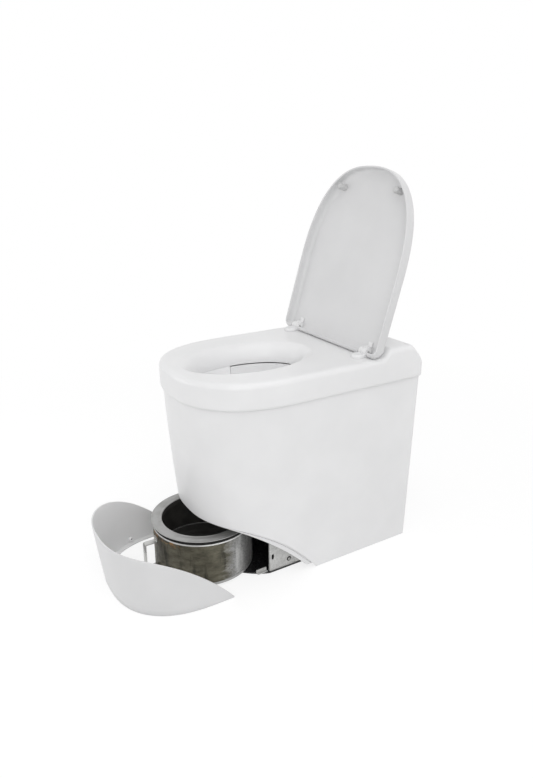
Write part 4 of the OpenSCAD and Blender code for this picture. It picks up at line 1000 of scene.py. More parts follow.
@dataclass(frozen=True)
class Body:
    """The surface that the casing, its lip and the front panel share, and the edge cut in it.

    The front swells by swell halfway up. The height of the cut is found in so many rounds.
    """

    foot: Outline = Outline(177.5, 195.5, -54, 288.2, 10)
    head: Outline = Outline(189, 227.5, -64, 291.2, 10)
    band_z: float = BAND_Z
    scoop_h: float = 160
    scoop_crest: float = -263
    scoop_end: float = -5
    swell: float = 5
    rounds: int = 12

    def at(self, station: Station, z: float, inset: float) -> Point:
        """Point of the surface at a station and height.

        Args:
            station: the station.
            z: the height.
            inset: how far inside the surface it lies.

        Returns:
            The point.
        """
        k = z / self.band_z
        a = self.foot.inset(inset).spot(station)
        b = self.head.inset(inset).spot(station)
        out = 0.0
        if station[0] is Side.FRONT:
            out = 4 * self.swell * sin(station[1]) * k * max(1 - k, 0)
        return (a[0] + (b[0] - a[0]) * k, a[1] + (b[1] - a[1]) * k - out, z)

    def scoop(self, y: float) -> float:
        """Height of the cut edge over a y."""
        return self.scoop_h * (1 - ((y - self.scoop_crest) / (self.scoop_crest - self.scoop_end)) ** 2)

    def cut(self, station: Station) -> float:
        """Height at which a station meets the cut edge.

        Args:
            station: the station.

        Returns:
            The height, or 0 where the edge has passed the floor.
        """
        z = 0.0
        for _ in range(self.rounds):
            z = max(self.scoop(self.at(station, z, 0)[1]), 0.0)
        return z


def edge_round(low: float, high: float, r: float, steps: int = 4) -> list[Flat]:
    """Edge rounded on both sides, across a wall.

    Args:
        low: inset of the outer side.
        high: inset of the inner side.
        r: radius of the rounding.
        steps: how many steps there are in a quarter turn.

    Returns:
        Inset and height of each point.
    """
    first = [(low + r * (1 - cos(a)), -r * sin(a) + r) for a in span(0, 90, steps)]
    second = [(high - r * (1 - sin(a)), r - r * cos(a)) for a in span(0, 90, steps)]
    return first + second


def strap(path: Sequence[Flat], half: float, bend: float) -> list[Flat]:
    """Outline of a strap of sheet metal along a path, with rounded bends.

    Args:
        path: the corners of its middle line.
        half: half its thickness.
        bend: radius of the middle line at each bend.

    Returns:
        The loop round the strap.
    """
    middle: list[tuple[Vector, Vector]] = []
    corners = [Vector(p) for p in path]
    for i, p in enumerate(corners):
        if i in (0, len(corners) - 1):
            q = corners[1] if i == 0 else corners[-2]
            d = (q - p).normalized() * (1 if i == 0 else -1)
            middle.append((p, d))
            continue
        a, b = (p - corners[i - 1]).normalized(), (corners[i + 1] - p).normalized()
        angle = a.angle(b)
        reach = bend * math.tan(angle / 2)
        side = 1.0 if a.cross(b) > 0 else -1.0
        centre = p - a * reach + Vector((-a.y, a.x)) * side * bend
        for t in span(0, angle, 6):
            turn = Matrix.Rotation(side * t, 2)
            d = turn @ a
            middle.append((centre - Vector((-d.y, d.x)) * side * bend, d))
    left = [p + Vector((-d.y, d.x)) * half for p, d in middle]
    right = [p - Vector((-d.y, d.x)) * half for p, d in middle]
    return [(p.x, p.y) for p in left + list(reversed(right))]


def add_screw(head: Shape, mark: Shape, place: Point, axis: Axis, r: float, h: float, shank: float) -> None:
    """Adds a pan head screw to one shape and its cross recess to another.

    Args:
        head: the shape that takes the screw.
        mark: the shape that takes the recess.
        place: the middle of the seat of the head.
        axis: the direction in which the head stands out.
        r: radius of the head.
        h: height of the head.
        shank: length of the shank behind the head.
    """
    dome = [(0, -shank), (r / 2, -shank), (r / 2, 0), (r, 0)]
    dome += [(r * cos(a), h * (0.35 + 0.65 * sin(a))) for a in span(0, 80, 7)]
    head.turned([*dome, (0, h)], place, axis, 40)
    w, t = 0.55 * r, 0.13 * r
    loop = [(-w, -t), (-t, -t), (-t, -w), (t, -w), (t, -t), (w, -t),
            (w, t), (t, t), (t, w), (-t, w), (-t, t), (-w, t)]
    mark.join(Shape().prism(loop, 0.45 * h, h + 1, axis).moved(place))


@dataclass
class Casing(SubAssembly):
    """The outer casing with its scooped front, and the lip behind the edge of the scoop.

    The cut edge is rounded by edge, and the first row of faces over it is as high as fine says.
    """

    body: Body = Body()
    top: float = 480
    wall: float = 3
    edge: float = 0.7
    fine: float = 4
    lip_near: float = 3.3
    lip_far: float = 5.8
    lip_side: float = 20
    lip_foot: float = 12
    lip_front: float = 3
    lip_taper: int = 5
    lip_up: float = 10
    groove: float = 6
    groove_d: float = 1.9
    rear_flange: float = 14

    def build(self) -> None:
        """Builds the casing and the lip."""
        end = self.body.foot.part(self.body.scoop_end)
        flange = 1 - self.rear_flange / (self.body.foot.half_w - self.body.foot.corner)
        parts = span(0, end, 22)[1:] + span(end, 1, 14)[1:]
        turn = span(0, 90, 8)[1:]
        stations = [(Side.REAR, flange), *[(Side.RIGHT_CORNER, a) for a in reversed(turn)],
                    *round_front(parts, 150), *[(Side.LEFT_CORNER, a) for a in turn], (Side.REAR, -flange)]
        rows = []
        for s in stations:
            c = self.body.cut(s)
            low = [(i, c + z) for i, z in edge_round(0, self.wall, self.edge, 3)]
            high = [(self.wall, z) for z in span(c + self.fine, self.top, 14)]
            high += [(0, z) for z in span(self.top, c + self.fine, 14)]
            rows.append([self.body.at(s, z, i) for i, z in low + high])
        self.piece(Shape().loft(rows), "casing_shell", Palette.white_gloss, "housing", ["outer_casing"])
        self.lip(end)

    def lip(self, end: float) -> None:
        """Builds the lip that hangs below the cut edge.

        Args:
            end: share of the side at which the scoop ends.
        """
        rows = []
        for s in round_front(span(0.25 * end, 0.75 * end, 14), 150):
            c = self.body.cut(s)
            bend = abs(cos(s[1])) ** self.lip_taper if s[0] is Side.FRONT else 1.0
            depth = self.lip_front + (self.lip_side - self.lip_front) * bend
            low = max(c - depth, self.lip_foot)
            back = self.lip_near + self.groove_d
            step = c - min(self.groove, 0.5 * (c - low))
            loop = [(i, low + z) for i, z in edge_round(self.lip_near, self.lip_far, 0.8, 3)]
            loop += [(self.lip_far, c + self.lip_up), (self.lip_near, c + self.lip_up), (self.lip_near, c + 4),
                     (back, c + 3)]
            loop += [(back, step + 0.8), (self.lip_near, step)]
            rows.append([self.body.at(s, z, i) for i, z in loop])
        self.piece(Shape().loft(rows), "casing_inner_lip", Palette.white_satin, "housing", ["casing_lip"])


@dataclass
class FrontPanel(SubAssembly):
    """The curved front panel, set down ahead of its seat, with a flange along its foot.

    Seated, it curves round a spot that lies heart ahead of the origin.
    """

    body: Body = Body()
    out: float = 225.5
    wall: float = 3
    flange: float = 15
    flange_t: float = 2
    fillet: float = 2.2
    edge: float = 1.2
    gap: float = 4
    tip_h: float = 4
    boss_z: float = 16
    boss_turn: float = -17
    boss_sink: float = 1.6
    hole_r: float = 1.9
    heart: float = 60

    def build(self) -> None:
        """Builds the panel and its two fixing bosses."""
        reach = self.body.scoop_end - self.body.scoop_crest
        tip_y = reach * math.sqrt(1 - (self.tip_h + self.gap) / self.body.scoop_h) + self.body.scoop_crest
        rows = []
        for s in round_front(span(0, self.body.foot.part(tip_y), 20)[1:], 160):
            rows.append([self.body.at(s, z, i) for i, z in self.section(self.body.cut(s) - self.gap)])
        # The panel's outside takes a darker white as painted shade, its inside a lighter white as painted light, and
        # the top of its flange the lighter bowl white as painted light.
        self.piece(Shape().loft(rows).moved((0, -self.out, 0)), "front_cover_shell", Palette.cover_white,
                   "front_cover", ["front_panel"], sharp=50,
                   patches=[Patch(Palette.lining_white, self.inside), Patch(Palette.bowl_white, self.on_flange)])
        self.bosses()

    def section(self, top: float) -> list[Flat]:
        """Inset and height of the wall and its flange.

        Args:
            top: the height at which the wall ends.

        Returns:
            The loop round both.
        """
        t, r = self.flange_t, self.fillet
        rim = [(i, top - z) for i, z in edge_round(0, self.wall, self.edge, 4)]
        if top > t + 2 * r:
            fillet = [(self.wall + r * (1 - cos(a)), t + r * (1 - sin(a))) for a in span(0, 90, 3)]
            heights = span(max(top - self.edge, t + r + 0.1), t + r, 8)
        else:
            fillet = [(self.wall, t)] * 4
            heights = [t] * 9
        foot = [(self.flange, t), (self.flange, 0.4), (self.flange - 0.4, 0), (1.0, 0), (0, 1.0)]
        outside = [(0, z) for z in span(1.0, top - self.edge, 8)[1:-1]]
        return rim + [(self.wall, z) for z in heights[1:-1]] + fillet + foot + outside

    def inside(self, place: Vector, normal: Vector) -> bool:
        """Tells whether a face over the flange looks in at the middle of the panel's curve."""
        return normal.x * place.x + normal.y * (place.y + self.out + self.heart) < -20 and place.z > self.flange_t + 1

    def on_flange(self, place: Vector, normal: Vector) -> bool:
        """Tells whether a face lies on top of the foot's flange."""
        return normal.z > 0.4 and place.z < self.flange_t + 2.5

    def bosses(self) -> None:
        """Builds the boss on each inner wall, with its screw hole."""
        low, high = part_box("panel_boss")
        x = high[0] / MM
        y = (low[1] + high[1]) / 2 / MM
        shape = Shape()
        r = self.hole_r
        ring = [(0, 0), (5, 0), (5, 5.6), (4.6, 6.4), (3.8, 6.8), (r + 0.5, 6.8), (r, 6.2), (r, 2.0), (0, 2.0)]
        shape.turned(ring, (0, 0, 0), Axis.MINUS_X, 40)
        matrix = (Matrix.Translation((x - self.boss_sink, y, self.boss_z))
                  @ Matrix.Rotation(rad(self.boss_turn), 4, "Z"))
        back = matrix.inverted()

        def hole(place: Vector, _: Vector) -> bool:
            """Tells whether a face lies in the hole of either boss."""
            spot = back @ Vector((abs(place.x), place.y, place.z))
            return math.hypot(spot.y, spot.z) < r + 0.1

        # The bosses take a lighter white as painted light, and their screw holes are painted black as painted shade.
        self.piece(shape.rotated(matrix).both_sides(), "front_cover_bosses", Palette.bowl_white, "front_cover",
                   ["panel_boss"], patches=[Patch(Palette.soot, hole)])


@dataclass
class Deck(SubAssembly):
    """The top casing: a band, a flat seat surface with a soft roll into the bowl, and a ridge behind the lid."""

    plan: Outline = Outline(195, 233.5, -64, 297.5, 18)
    band_z: float = BAND_Z
    seat_z: float = SEAT_Z
    ridge_z: float = RIDGE_Z
    ridge_foot: float = 170
    ridge_slope: float = 16
    chamfer_d: float = 39
    chamfer_h: float = 45
    fillet: float = 14
    wall: float = 4
    neck: Flat = (86, 140)
    neck_z: float = 471
    roll: float = 36
    bowl_y: float = BOWL_Y
    lap: float = 480
    button_hole: float = 11.3
    lens_hole: float = 3.05
    bolt_hole: float = BOLT_HOLE
    hole_d: float = 100

    def plain_height(self, y: float) -> float:
        """Height of the upper side over a y, with sharp folds.

        Args:
            y: the place along the casing.

        Returns:
            The height.
        """
        slope = self.ridge_foot + self.ridge_slope
        drop = self.plan.rear - self.chamfer_d
        if y < self.ridge_foot:
            return self.seat_z
        if y < slope:
            return self.seat_z + (self.ridge_z - self.seat_z) * (y - self.ridge_foot) / self.ridge_slope
        if y < drop:
            return self.ridge_z
        return self.ridge_z - self.chamfer_h * (y - drop) / self.chamfer_d

    def height(self, y: float) -> float:
        """Height of the upper side over a y, with soft folds."""
        return sum(self.plain_height(y + d) for d in span(-6, 6, 8)) / 9

    def oval(self, p: Flat, a: float, b: float) -> Flat:
        """Point on an oval round the bowl's middle, in the direction of a given point.

        Args:
            p: the given point.
            a: half the width of the oval.
            b: half its length.

        Returns:
            The point on the oval.
        """
        t = math.atan2(p[1] - self.bowl_y, p[0])
        r = 1 / math.sqrt((math.cos(t) / a) ** 2 + (math.sin(t) / b) ** 2)
        return (r * math.cos(t), self.bowl_y + r * math.sin(t))

    def roll_spot(self, p: Flat, turn: float, back: float) -> Point:
        """Point of the roll at an angle.

        Args:
            p: a point in whose direction it lies.
            turn: the angle in degrees.
            back: how far behind the skin it lies.

        Returns:
            The point.
        """
        s, c = sin(turn), cos(turn)
        grow = self.roll * (1 - s) + back * s
        q = self.oval(p, self.neck[0] + grow, self.neck[1] + grow)
        return (q[0], q[1], self.neck_z + (self.seat_z - self.neck_z) * c - back * c)

    def profile(self, station: Station) -> Row:
        """Loop of points across the wall at a station.

        Args:
            station: the station.

        Returns:
            The loop.
        """
        e = self.plan.inset(self.fillet).spot(station)
        o = self.oval(e, self.neck[0] + self.roll, self.neck[1] + self.roll)
        row: Row = []
        for t in span(0, 1, 5):
            x, y = self.plan.inset(2 * (1 - t) ** 2).spot(station)
            row.append((x, y, self.band_z + 6 * t))
        for a in span(0, 90, 12):
            x, y = self.plan.inset(self.fillet * (1 - cos(a))).spot(station)
            row.append((x, y, self.height(y) - self.fillet * (1 - sin(a))))
        for t in span(0, 1, 36)[1:-1]:
            x, y = between(e, o, t)
            row.append((x, y, self.height(y)))
        row += [self.roll_spot(e, a, 0) for a in span(0, 90, 18)]
        row += [self.roll_spot(e, a, self.wall) for a in span(90, 0, 6)]
        for t in (0.6, 0.3, 0.02):
            x, y = between(e, o, t)
            row.append((x, y, self.plain_height(y) - self.wall))
        inner = self.plan.inset(7.1).spot(station)
        row.append((*inner, self.plain_height(inner[1]) - self.wall - 3))
        for inset, z in ((7.1, self.lap + 0.3), (2.6, self.lap + 0.3), (2.6, self.band_z)):
            row.append((*self.plan.inset(inset).spot(station), z))
        return row

    def build(self) -> None:
        """Builds the top casing with its holes."""
        parts = [self.plan.part(y) for y in (*span(-60, 150, 34), *span(154, 276, 46))]
        stations = round_body(parts, span(0, 90, 10), [-1 + f for f in span(0, 2, 30)[1:-1]], 130)
        holes = Shape().plug(self.button_hole, 0, self.hole_d, (*BUTTON, self.band_z), steps=72)
        for x in LENS_XS:
            holes.plug(self.lens_hole, 0, self.hole_d, (x, BUTTON[1], self.band_z), steps=32)
        for x in (-HINGE_X, HINGE_X):
            holes.plug(self.bolt_hole, 0, self.hole_d, (x, HINGE_FOOT_Y, self.band_z), steps=32)
        self.piece(Shape().loft([self.profile(s) for s in stations], ring=True), "deck_shell", Palette.white_gloss,
                   "housing", ["top_casing"], sharp=40, cut=holes)


@dataclass
class Bowl(SubAssembly):
    """The two halves of the trap bowl, each on its own shaft."""

    middle: float = BOWL_Y
    rim_z: float = 467
    top: Flat = (87, 141)
    floor: Flat = (34, 52)
    depth: float = 104
    wall: float = 3
    gap: float = 0.5
    front_lift: float = 3.3
    rear_lift: float = 0.7

    def ring(self, t: float, wall: float) -> Row:
        """Half a ring of the bowl at an angle down its wall.

        Args:
            t: the angle in degrees.
            wall: how far outside the inner side it lies.

        Returns:
            The points.
        """
        c, s = cos(t), sin(t)
        a = self.floor[0] + (self.top[0] - self.floor[0]) * c + wall
        b = self.floor[1] + (self.top[1] - self.floor[1]) * c + wall
        return [(a * cos(f), min(-b * sin(f), -self.gap), self.rim_z - (self.depth + wall) * s)
                for f in span(0, 180, 72)]

    def half(self, lift: float) -> Shape:
        """A front half, round the origin of the bowl.

        Args:
            lift: how much higher its rim is.

        Returns:
            The half.
        """
        turns = span(0, 90, 30)
        outside = [self.ring(t, self.wall) for t in turns]
        inside = [self.ring(t, 0) for t in turns]
        for rows in (outside, inside):
            rows[0] = [(x, y, z + lift) for x, y, z in rows[0]]
        shape = Shape()
        shape.loft(list(reversed(outside)) + inside, closed=False, caps=False)
        edges = [[r[k] for r in outside] + [r[k] for r in reversed(inside)] for k in (0, -1)]
        seam = [outside[-1][0], outside[-1][-1], inside[-1][-1], inside[-1][0]]
        for loop in (outside[-1], inside[-1], *edges, seam):
            shape.faces.append(tuple(shape.add(loop)))
        return shape

    def build(self) -> None:
        """Builds both halves."""
        front, rear = self.half(self.front_lift), self.half(self.rear_lift).mirrored((1, -1, 1))
        # Both halves take lighter copies of the gloss white as painted light inside the bowl, the front half more
        # than the rear.
        for shape, name, finish in ((front, "front", Palette.bowl_white), (rear, "rear", Palette.flap_white)):
            self.piece(shape.moved((0, self.middle, 0)), f"bowl_{name}_skin", finish, f"bowl_{name}",
                       [f"bowl_{name}_half"], bevel=0.6, sharp=45)


@dataclass
class Lid(SubAssembly):
    """The lid, drawn closed with its pins on the X axis and turned to its open rest.

    Its flat top and its ceiling end top_in and ceiling_in from the sides and the rear, and its inner corner is
    tip_r softer at the tip.
    """

    half_w: float = 194.7
    length: float = 443
    height: float = 27.7
    wall: float = 4
    straight: float = 180
    edge_r: float = 9
    rear_r: float = 25
    overhang: float = 10.8
    rim: float = 10
    rise: float = 11
    inner_r: float = 10
    swing: float = 0.6
    open_by: float = 106.5
    knuckle_r: float = KNUCKLE_R
    knuckle_half: float = 6.7
    pin_hole: float = PIN_HOLE
    bumper: Flat = (107, 390)
    top_in: Flat = (60, 75)
    ceiling_in: Flat = (80, 90)
    tip_r: float = 22

    def stations(self) -> list[Station]:
        """Stations round the lid."""
        return round_body(span(0, 1, 22)[1:-1], span(0, 90, 8), span(-1, 1, 40)[1:-1], 110)

    def rear_in(self, h: float, r: float) -> float:
        """How far the round rear edge is drawn in at a height."""
        base = self.height - self.rear_r
        return 0 if h <= base else r - math.sqrt(max(r * r - (h - base) ** 2, 0))

    def rear(self, h: float) -> float:
        """How far the rear is drawn in at a height, rounded below about the hinge pins.

        Args:
            h: the height.

        Returns:
            The distance.
        """
        turn = 0.0
        if h < self.rim:
            turn = self.overhang - math.sqrt((self.rise - self.swing) ** 2 - (self.rim - h) ** 2)
        return max(self.rear_in(h, self.rear_r), turn)

    def ring(self, base: float, rear_inset: float, h: float, turn: float = 0.0) -> Row:
        """Loop round the lid at a height.

        Args:
            base: how far the loop is drawn in.
            rear_inset: how far its rear is drawn in.
            h: the height.
            turn: how far it has gone round the inner corner, from 0 to 1.

        Returns:
            The loop.
        """
        row = []
        for s in self.stations():
            i = base + (self.inner_r + self.tip_r * self.tip(s)) * turn
            plan = Outline(self.half_w - i, self.length - self.straight - i, self.overhang - self.straight,
                           self.overhang - rear_inset, max(15 - i, 2))
            row.append((*plan.spot(s), h))
        return row

    def tip(self, s: Station) -> float:
        """How near a station is to the tip of the lid, from 0 to 1."""
        return ease(sin(s[1]), 0.55, 1.0) if s[0] is Side.FRONT else 0.0

    def shell(self) -> Shape:
        """The lid as it lies closed.

        Returns:
            The shape.
        """
        ceiling = self.height - self.wall
        rows = [self.ring(*self.top_in, self.height)]
        for a in span(90, 0, 10):
            h = self.height - self.edge_r * (1 - sin(a))
            rows.append(self.ring(self.edge_r * (1 - cos(a)), self.rear(h), h))
        steps = span(0, self.rim, 8)
        rows += [self.ring(0.0, self.rear(h), h) for h in reversed(steps[1:])]
        foot = [(0.0, self.rear(1.2), 1.2), (0.35, self.rear(0.35) + 0.2, 0.35), (1.2, self.rear(0) + 0.8, 0),
                (self.wall - 1.2, self.wall + self.rear(0) - 0.8, 0),
                (self.wall - 0.3, self.wall + self.rear(0.35) - 0.2, 0.4)]
        rows += [self.ring(*spot) for spot in foot]
        rows += [self.ring(self.wall, self.wall + self.rear(h), h) for h in span(1.2, self.rim, 5)]
        for a in span(0, 90, 12)[1:]:
            h = ceiling - self.inner_r * (1 - sin(a))
            rear = self.wall + max(self.rear_in(h, self.rear_r - self.wall), self.rear(h))
            rows.append(self.ring(self.wall, rear, h, 1 - cos(a)))
        rows.append(self.ring(*self.ceiling_in, ceiling))
        return Shape().loft(rows)

    def turn(self) -> Matrix:
        """Takes the lid from where it is drawn to its open rest."""
        return (Matrix.Translation((0, *HINGE_PIN)) @ Matrix.Rotation(rad(-self.open_by), 4, "X")
                @ Matrix.Translation((0, 0, -self.rim)))

    def build(self) -> None:
        """Builds the lid, its bumpers and its hinge arms."""
        notch = Shape()
        half = self.knuckle_half + 10
        notch.block((HINGE_X - half, -self.knuckle_r - 2.3, -1),
                    (HINGE_X + half, self.overhang + 2, self.rim + self.knuckle_r + 1.3))
        # The lid takes a darker copy of the gloss white as painted shade.
        self.piece(self.shell().rotated(self.turn()), "lid_shell", Palette.lid_white, "lid_leaf", ["lid"],
                   sharp=40, cut=notch.both_sides().rotated(self.turn()))
        self.bumpers()
        self.arms()

    def bumpers(self) -> None:
        """Builds the two clear bumpers inside the lid."""
        dome = [(0, -0.7), (3.5, -0.5), (6.2, 0.3), (7.6, 1.8), (8.1, 4), (8.2, 22.5), (8.3, 23.6), (0, 23.6)]
        shape = Shape().turned(dome, (self.bumper[0], self.overhang - self.bumper[1], 0), steps=64)
        self.piece(shape.both_sides().rotated(self.turn()), "lid_bumper_domes", Palette.clear_rubber, "lid_leaf",
                   ["lid_bumpers"], sharp=50)

    def arms(self) -> None:
        """Builds the middle knuckles with the webs that carry the lid."""
        ceiling = self.height - self.wall - 0.3
        r, half, hole = self.knuckle_r, self.knuckle_half, self.pin_hole
        shape = Shape()
        bore = [(hole, -half), (hole, half), (r - 0.8, half), (r, half - 0.8), (r, 0.8 - half), (r - 0.8, -half)]
        shape.turned(bore, (HINGE_X, 0, self.rim), Axis.X, 64)
        web = Shape()
        web.prism([(-24, ceiling - 2.9), (-14, ceiling - 3.2), (-12.6, self.rim), (-r + 1, self.rim - 1),
                   (-4, self.rim + 6), (-2, self.rim + r + 1), (-10, ceiling), (-24, ceiling)],
                  HINGE_X - half, HINGE_X + half, Axis.X)
        shape.join(web)
        self.piece(shape.both_sides().rotated(self.turn()), "lid_hinge_knuckles", Palette.white_satin, "lid_leaf",
                   ["lid_hinge_arms"], bevel=0.5, sharp=40)


@dataclass
class Hinges(SubAssembly):
    """The two hinge feet on the seat surface, with their outer knuckles."""

    x: float = HINGE_X
    foot_y: float = HINGE_FOOT_Y
    pin: Flat = HINGE_PIN
    seat_z: float = SEAT_Z
    foot_r: float = 16
    foot_h: float = 9
    bolt_hole: float = BOLT_HOLE
    knuckle_r: float = KNUCKLE_R
    pin_hole: float = PIN_HOLE
    ear_in: float = 7
    ear_w: float = 6

    def build(self) -> None:
        """Builds the feet."""
        shape = Shape()
        r = self.foot_r
        dome = [(self.bolt_hole, 0), (r - 0.6, 0), (r, 0.5), (r, 3.6)]
        dome += [(r - 5.4 * (1 - cos(a)), 3.6 + 5.4 * sin(a)) for a in span(0, 90, 8)]
        dome += [(7, self.foot_h), (6.4, self.foot_h - 0.5), (0, self.foot_h - 0.5), (0, 6), (self.bolt_hole, 6)]
        shape.turned(dome, (self.x, self.foot_y, self.seat_z), steps=96)
        for low in (-self.ear_in - self.ear_w, self.ear_in):
            k, hole = self.knuckle_r, self.pin_hole
            bore = [(hole, 0), (hole, self.ear_w), (k - 0.9, self.ear_w), (k - 0.25, self.ear_w - 0.3),
                    (k, self.ear_w - 0.9), (k, 0.9), (k - 0.25, 0.3), (k - 0.9, 0)]
            shape.turned(bore, (self.x + low, *self.pin), Axis.X, 72)
            web = [(self.foot_y + 2, self.seat_z + 0.3), (self.pin[0] - 2, self.seat_z + 0.3),
                   (self.pin[0] - 4, self.pin[1] - 4), (self.pin[0] - 7, self.pin[1] - 1),
                   (self.foot_y + 8, self.seat_z + self.foot_h - 1.4),
                   (self.foot_y + 2, self.seat_z + self.foot_h - 1)]
            shape.prism(web, self.x + low + 0.1, self.x + low + self.ear_w - 0.1, Axis.X)
        self.piece(shape.both_sides(), "hinge_foot_covers", Palette.white_satin, "housing", ["hinge_feet"],
                   bevel=0.4, sharp=40)


@dataclass
class AshPan(SubAssembly):
    """The round ash pan with its ring, gasket and strap handle, pulled out along the floor.

    Its wall is sooty, ashy and bare between heights over the floor: inside, near its bottom, and at the foot outside.
    Just above the bead inside, its wall has a lighter band of steel.
    """

    centre: Point = (0, -229, 5)
    r: float = 123
    h: float = 114
    wall: float = 2
    ring_r: float = 127
    bore_r: float = 100
    ring_low: float = 122
    ring_h: float = 9
    handle_w: float = 16
    handle_t: float = 3
    handle_top: float = 97
    handle_low: float = 27
    foot_rise: float = 10
    reach: float = 33
    bolt_r: float = 3.5
    skirt: float = 0.85
    sooty: Flat = (6, 200)
    ashy: Flat = (5, 30)
    bead: Flat = (30.6, 32.6)
    foot: Flat = (0, 13)

    def build(self) -> None:
        """Builds the pan."""
        self.shell()
        self.ring()
        self.handle()

    def dent(self, angle: float, h: float) -> float:
        """Slight unevenness of the rolled wall, which never stands proud."""
        return -0.35 * (0.5 + 0.5 * math.sin(3 * angle + 0.02 * h)) * ease(h, 5, 40)

    def shell(self) -> None:
        """Builds the turned body, with a rolled foot, a swage line and an outward rim."""
        r, t = self.r, self.wall
        outside = arc(r - 4, 4, 4, -90, 0, 8)
        outside += [(r, 7), (r - 0.4, 8.4), (r - 1.3, 9), (r - 1.3, 10.5), (r - 0.5, 11.5), (r, 14)]
        outside += [(r, z) for z in span(19, self.h - 3, 14)] + [(r, self.h - 0.4), (r - 0.4, self.h)]
        inside = [(r - t, self.h), (r - t, 28), (r - t - 1.2, 27), (r - t - 1.2, 25.4), (r - t, 24.4), (r - t, 18),
                  (r - t, 12)]
        inside += [(r - t - 6 * (1 - cos(a)), 8 - 6 * sin(a)) for a in span(10, 90, 6)]
        loop = [(0, 0), *outside, *inside, (60, t), (0, t)]
        # The pan's steel is dark from burning on one side, with a lighter band of painted reflection on the side
        # towards the rear.
        self.piece(Shape().turned(loop, self.centre, steps=192, wave=self.dent), "ash_pan_shell",
                   Palette.scorched, "ash_pan", ["ash_pan_body"], sharp=38,
                   patches=[Patch(Palette.soot, self.within(r - 1.2, *self.sooty)),
                            Patch(Palette.ash, self.within(r - 1.2, *self.ashy)),
                            Patch(Palette.ring_steel, self.within(r - 1.2, *self.bead)),
                            Patch(Palette.ring_steel, self.outside(*self.foot)),
                            # Painted highlight round the top of the outer wall.
                            Patch(Palette.rim_steel, self.outside(self.h + 2, self.h + 6))])
        low = self.h + self.centre[2] + 0.3
        gasket = [(103.2, 0), (121.6, 0), (122, 0.5), (122, 1.8), (121.4, 2.4), (121.4, 9), (120.8, 9.4),
                  (103.8, 9.4), (103.2, 9)]
        self.piece(Shape().turned(gasket, (0, self.centre[1], low), steps=160), "ash_pan_gasket_rope",
                   Palette.dark_gasket, "ash_pan", ["pan_gasket"])

    def away(self, place: Vector) -> Vector:
        """Where a point lies from the pan's middle, in plan."""
        return Vector((place.x - self.centre[0], place.y - self.centre[1]))

    def within(self, r: float, low: float, high: float) -> Callable[[Vector, Vector], bool]:
        """Test for the faces that look inward or up inside a radius, between two heights.

        Args:
            r: the radius.
            low: the lower height.
            high: the upper height.

        Returns:
            The test.
        """
        def covers(place: Vector, normal: Vector) -> bool:
            """Tells whether a face passes the test.

            Args:
                place: middle of the face in millimetres.
                normal: its normal.

            Returns:
                True if it passes.
            """
            away = self.away(place)
            inward = normal.x * away.x + normal.y * away.y < -0.3 * away.length or normal.z > 0.7
            return away.length < r and inward and low < place.z < high

        return covers

    def outside(self, low: float, high: float) -> Callable[[Vector, Vector], bool]:
        """Test for the faces of the body's outer wall between two heights.

        Args:
            low: the lower height.
            high: the upper height.

        Returns:
            The test.
        """
        def covers(place: Vector, normal: Vector) -> bool:
            """Tells whether a face passes the test."""
            away = self.away(place)
            return away.length > self.r - 6 and low < place.z < high and normal.dot(away.to_3d()) > -1

        return covers

    def ring(self) -> None:
        """Builds the pressed ring that closes the pan's mouth."""
        r, b, h = self.ring_r, self.bore_r, self.ring_h
        top = arc(r - 0.8, h - 0.8, 0.8, 0, 90, 4)
        top += [(r - 4, h), (r - 4.6, h - 0.35), (r - 5.4, h - 0.35), (r - 6, h), (b + 7, h), (b + 6.4, h - 0.35),
                (b + 5.6, h - 0.35), (b + 5, h)]
        top += [(b + 2 - 2 * sin(a), h - 2 + 2 * cos(a)) for a in span(0, 90, 6)]
        skirt = self.skirt * h
        loop = [(r - 2, skirt + 0.2), (r - 0.3, skirt), (r, skirt + 0.3), *top, (b, -3.9), (b + 0.6, -4.5),
                (b + 2, -4.5), (b + 2, h - 3.5), (b + 4, h - 2), (r - 2.4, h - 2), (r - 2, h - 2.2)]
        self.piece(Shape().turned(loop, (0, self.centre[1], self.ring_low), steps=192), "ash_pan_ring",
                   Palette.ring_steel, "ash_pan", ["pan_ring"], sharp=40,
                   patches=[Patch(Palette.soot, self.within(b + 1.9, self.sooty[0], self.ring_low + h - 1.5))])

    def handle(self) -> None:
        """Builds the bent strap and the bolts that hold it."""
        rear = self.centre[1] - self.r - 0.3
        front = self.centre[1] - self.r - self.reach
        t, w = self.handle_t, self.handle_w
        rise = self.foot_rise
        path = [(rear - t / 2, self.handle_top + rise), (rear - t / 2, self.handle_top - t / 2),
                (front + t / 2, self.handle_top - t / 2), (front + t / 2, self.handle_low + t / 2),
                (rear - t / 2, self.handle_low + t / 2), (rear - t / 2, self.handle_low - rise)]
        outline = strap(path, t / 2, 3.2)
        shape = Shape().prism(outline, -w / 2, w / 2, Axis.X)
        self.piece(shape, "ash_pan_handle", Palette.bright_steel, "ash_pan", ["pan_handle"], bevel=0.5, sharp=40)
        bolts = Shape()
        r = self.bolt_r
        for z in (self.handle_top + rise / 2, self.handle_low - rise / 2):
            place = (0, rear - t, z)
            bolts.join(Shape().prism(arc(0, 0, r, 0, 300, 5), 0.1, 2.6, Axis.MINUS_Y).moved(place))
            bolts.turned([(0, 0), (r, 0), (r, 0.6), (r - 0.4, 0.8), (0, 0.8)], place, Axis.MINUS_Y, 32)
            bolts.turned([(0, 2.4), (2.9, 2.4), (2.3, 3.0), (0, 3.0)], place, Axis.MINUS_Y, 32)
        self.piece(bolts, "ash_pan_handle_bolts", Palette.zinc, "ash_pan", ["handle_bolts"], bevel=0.25)


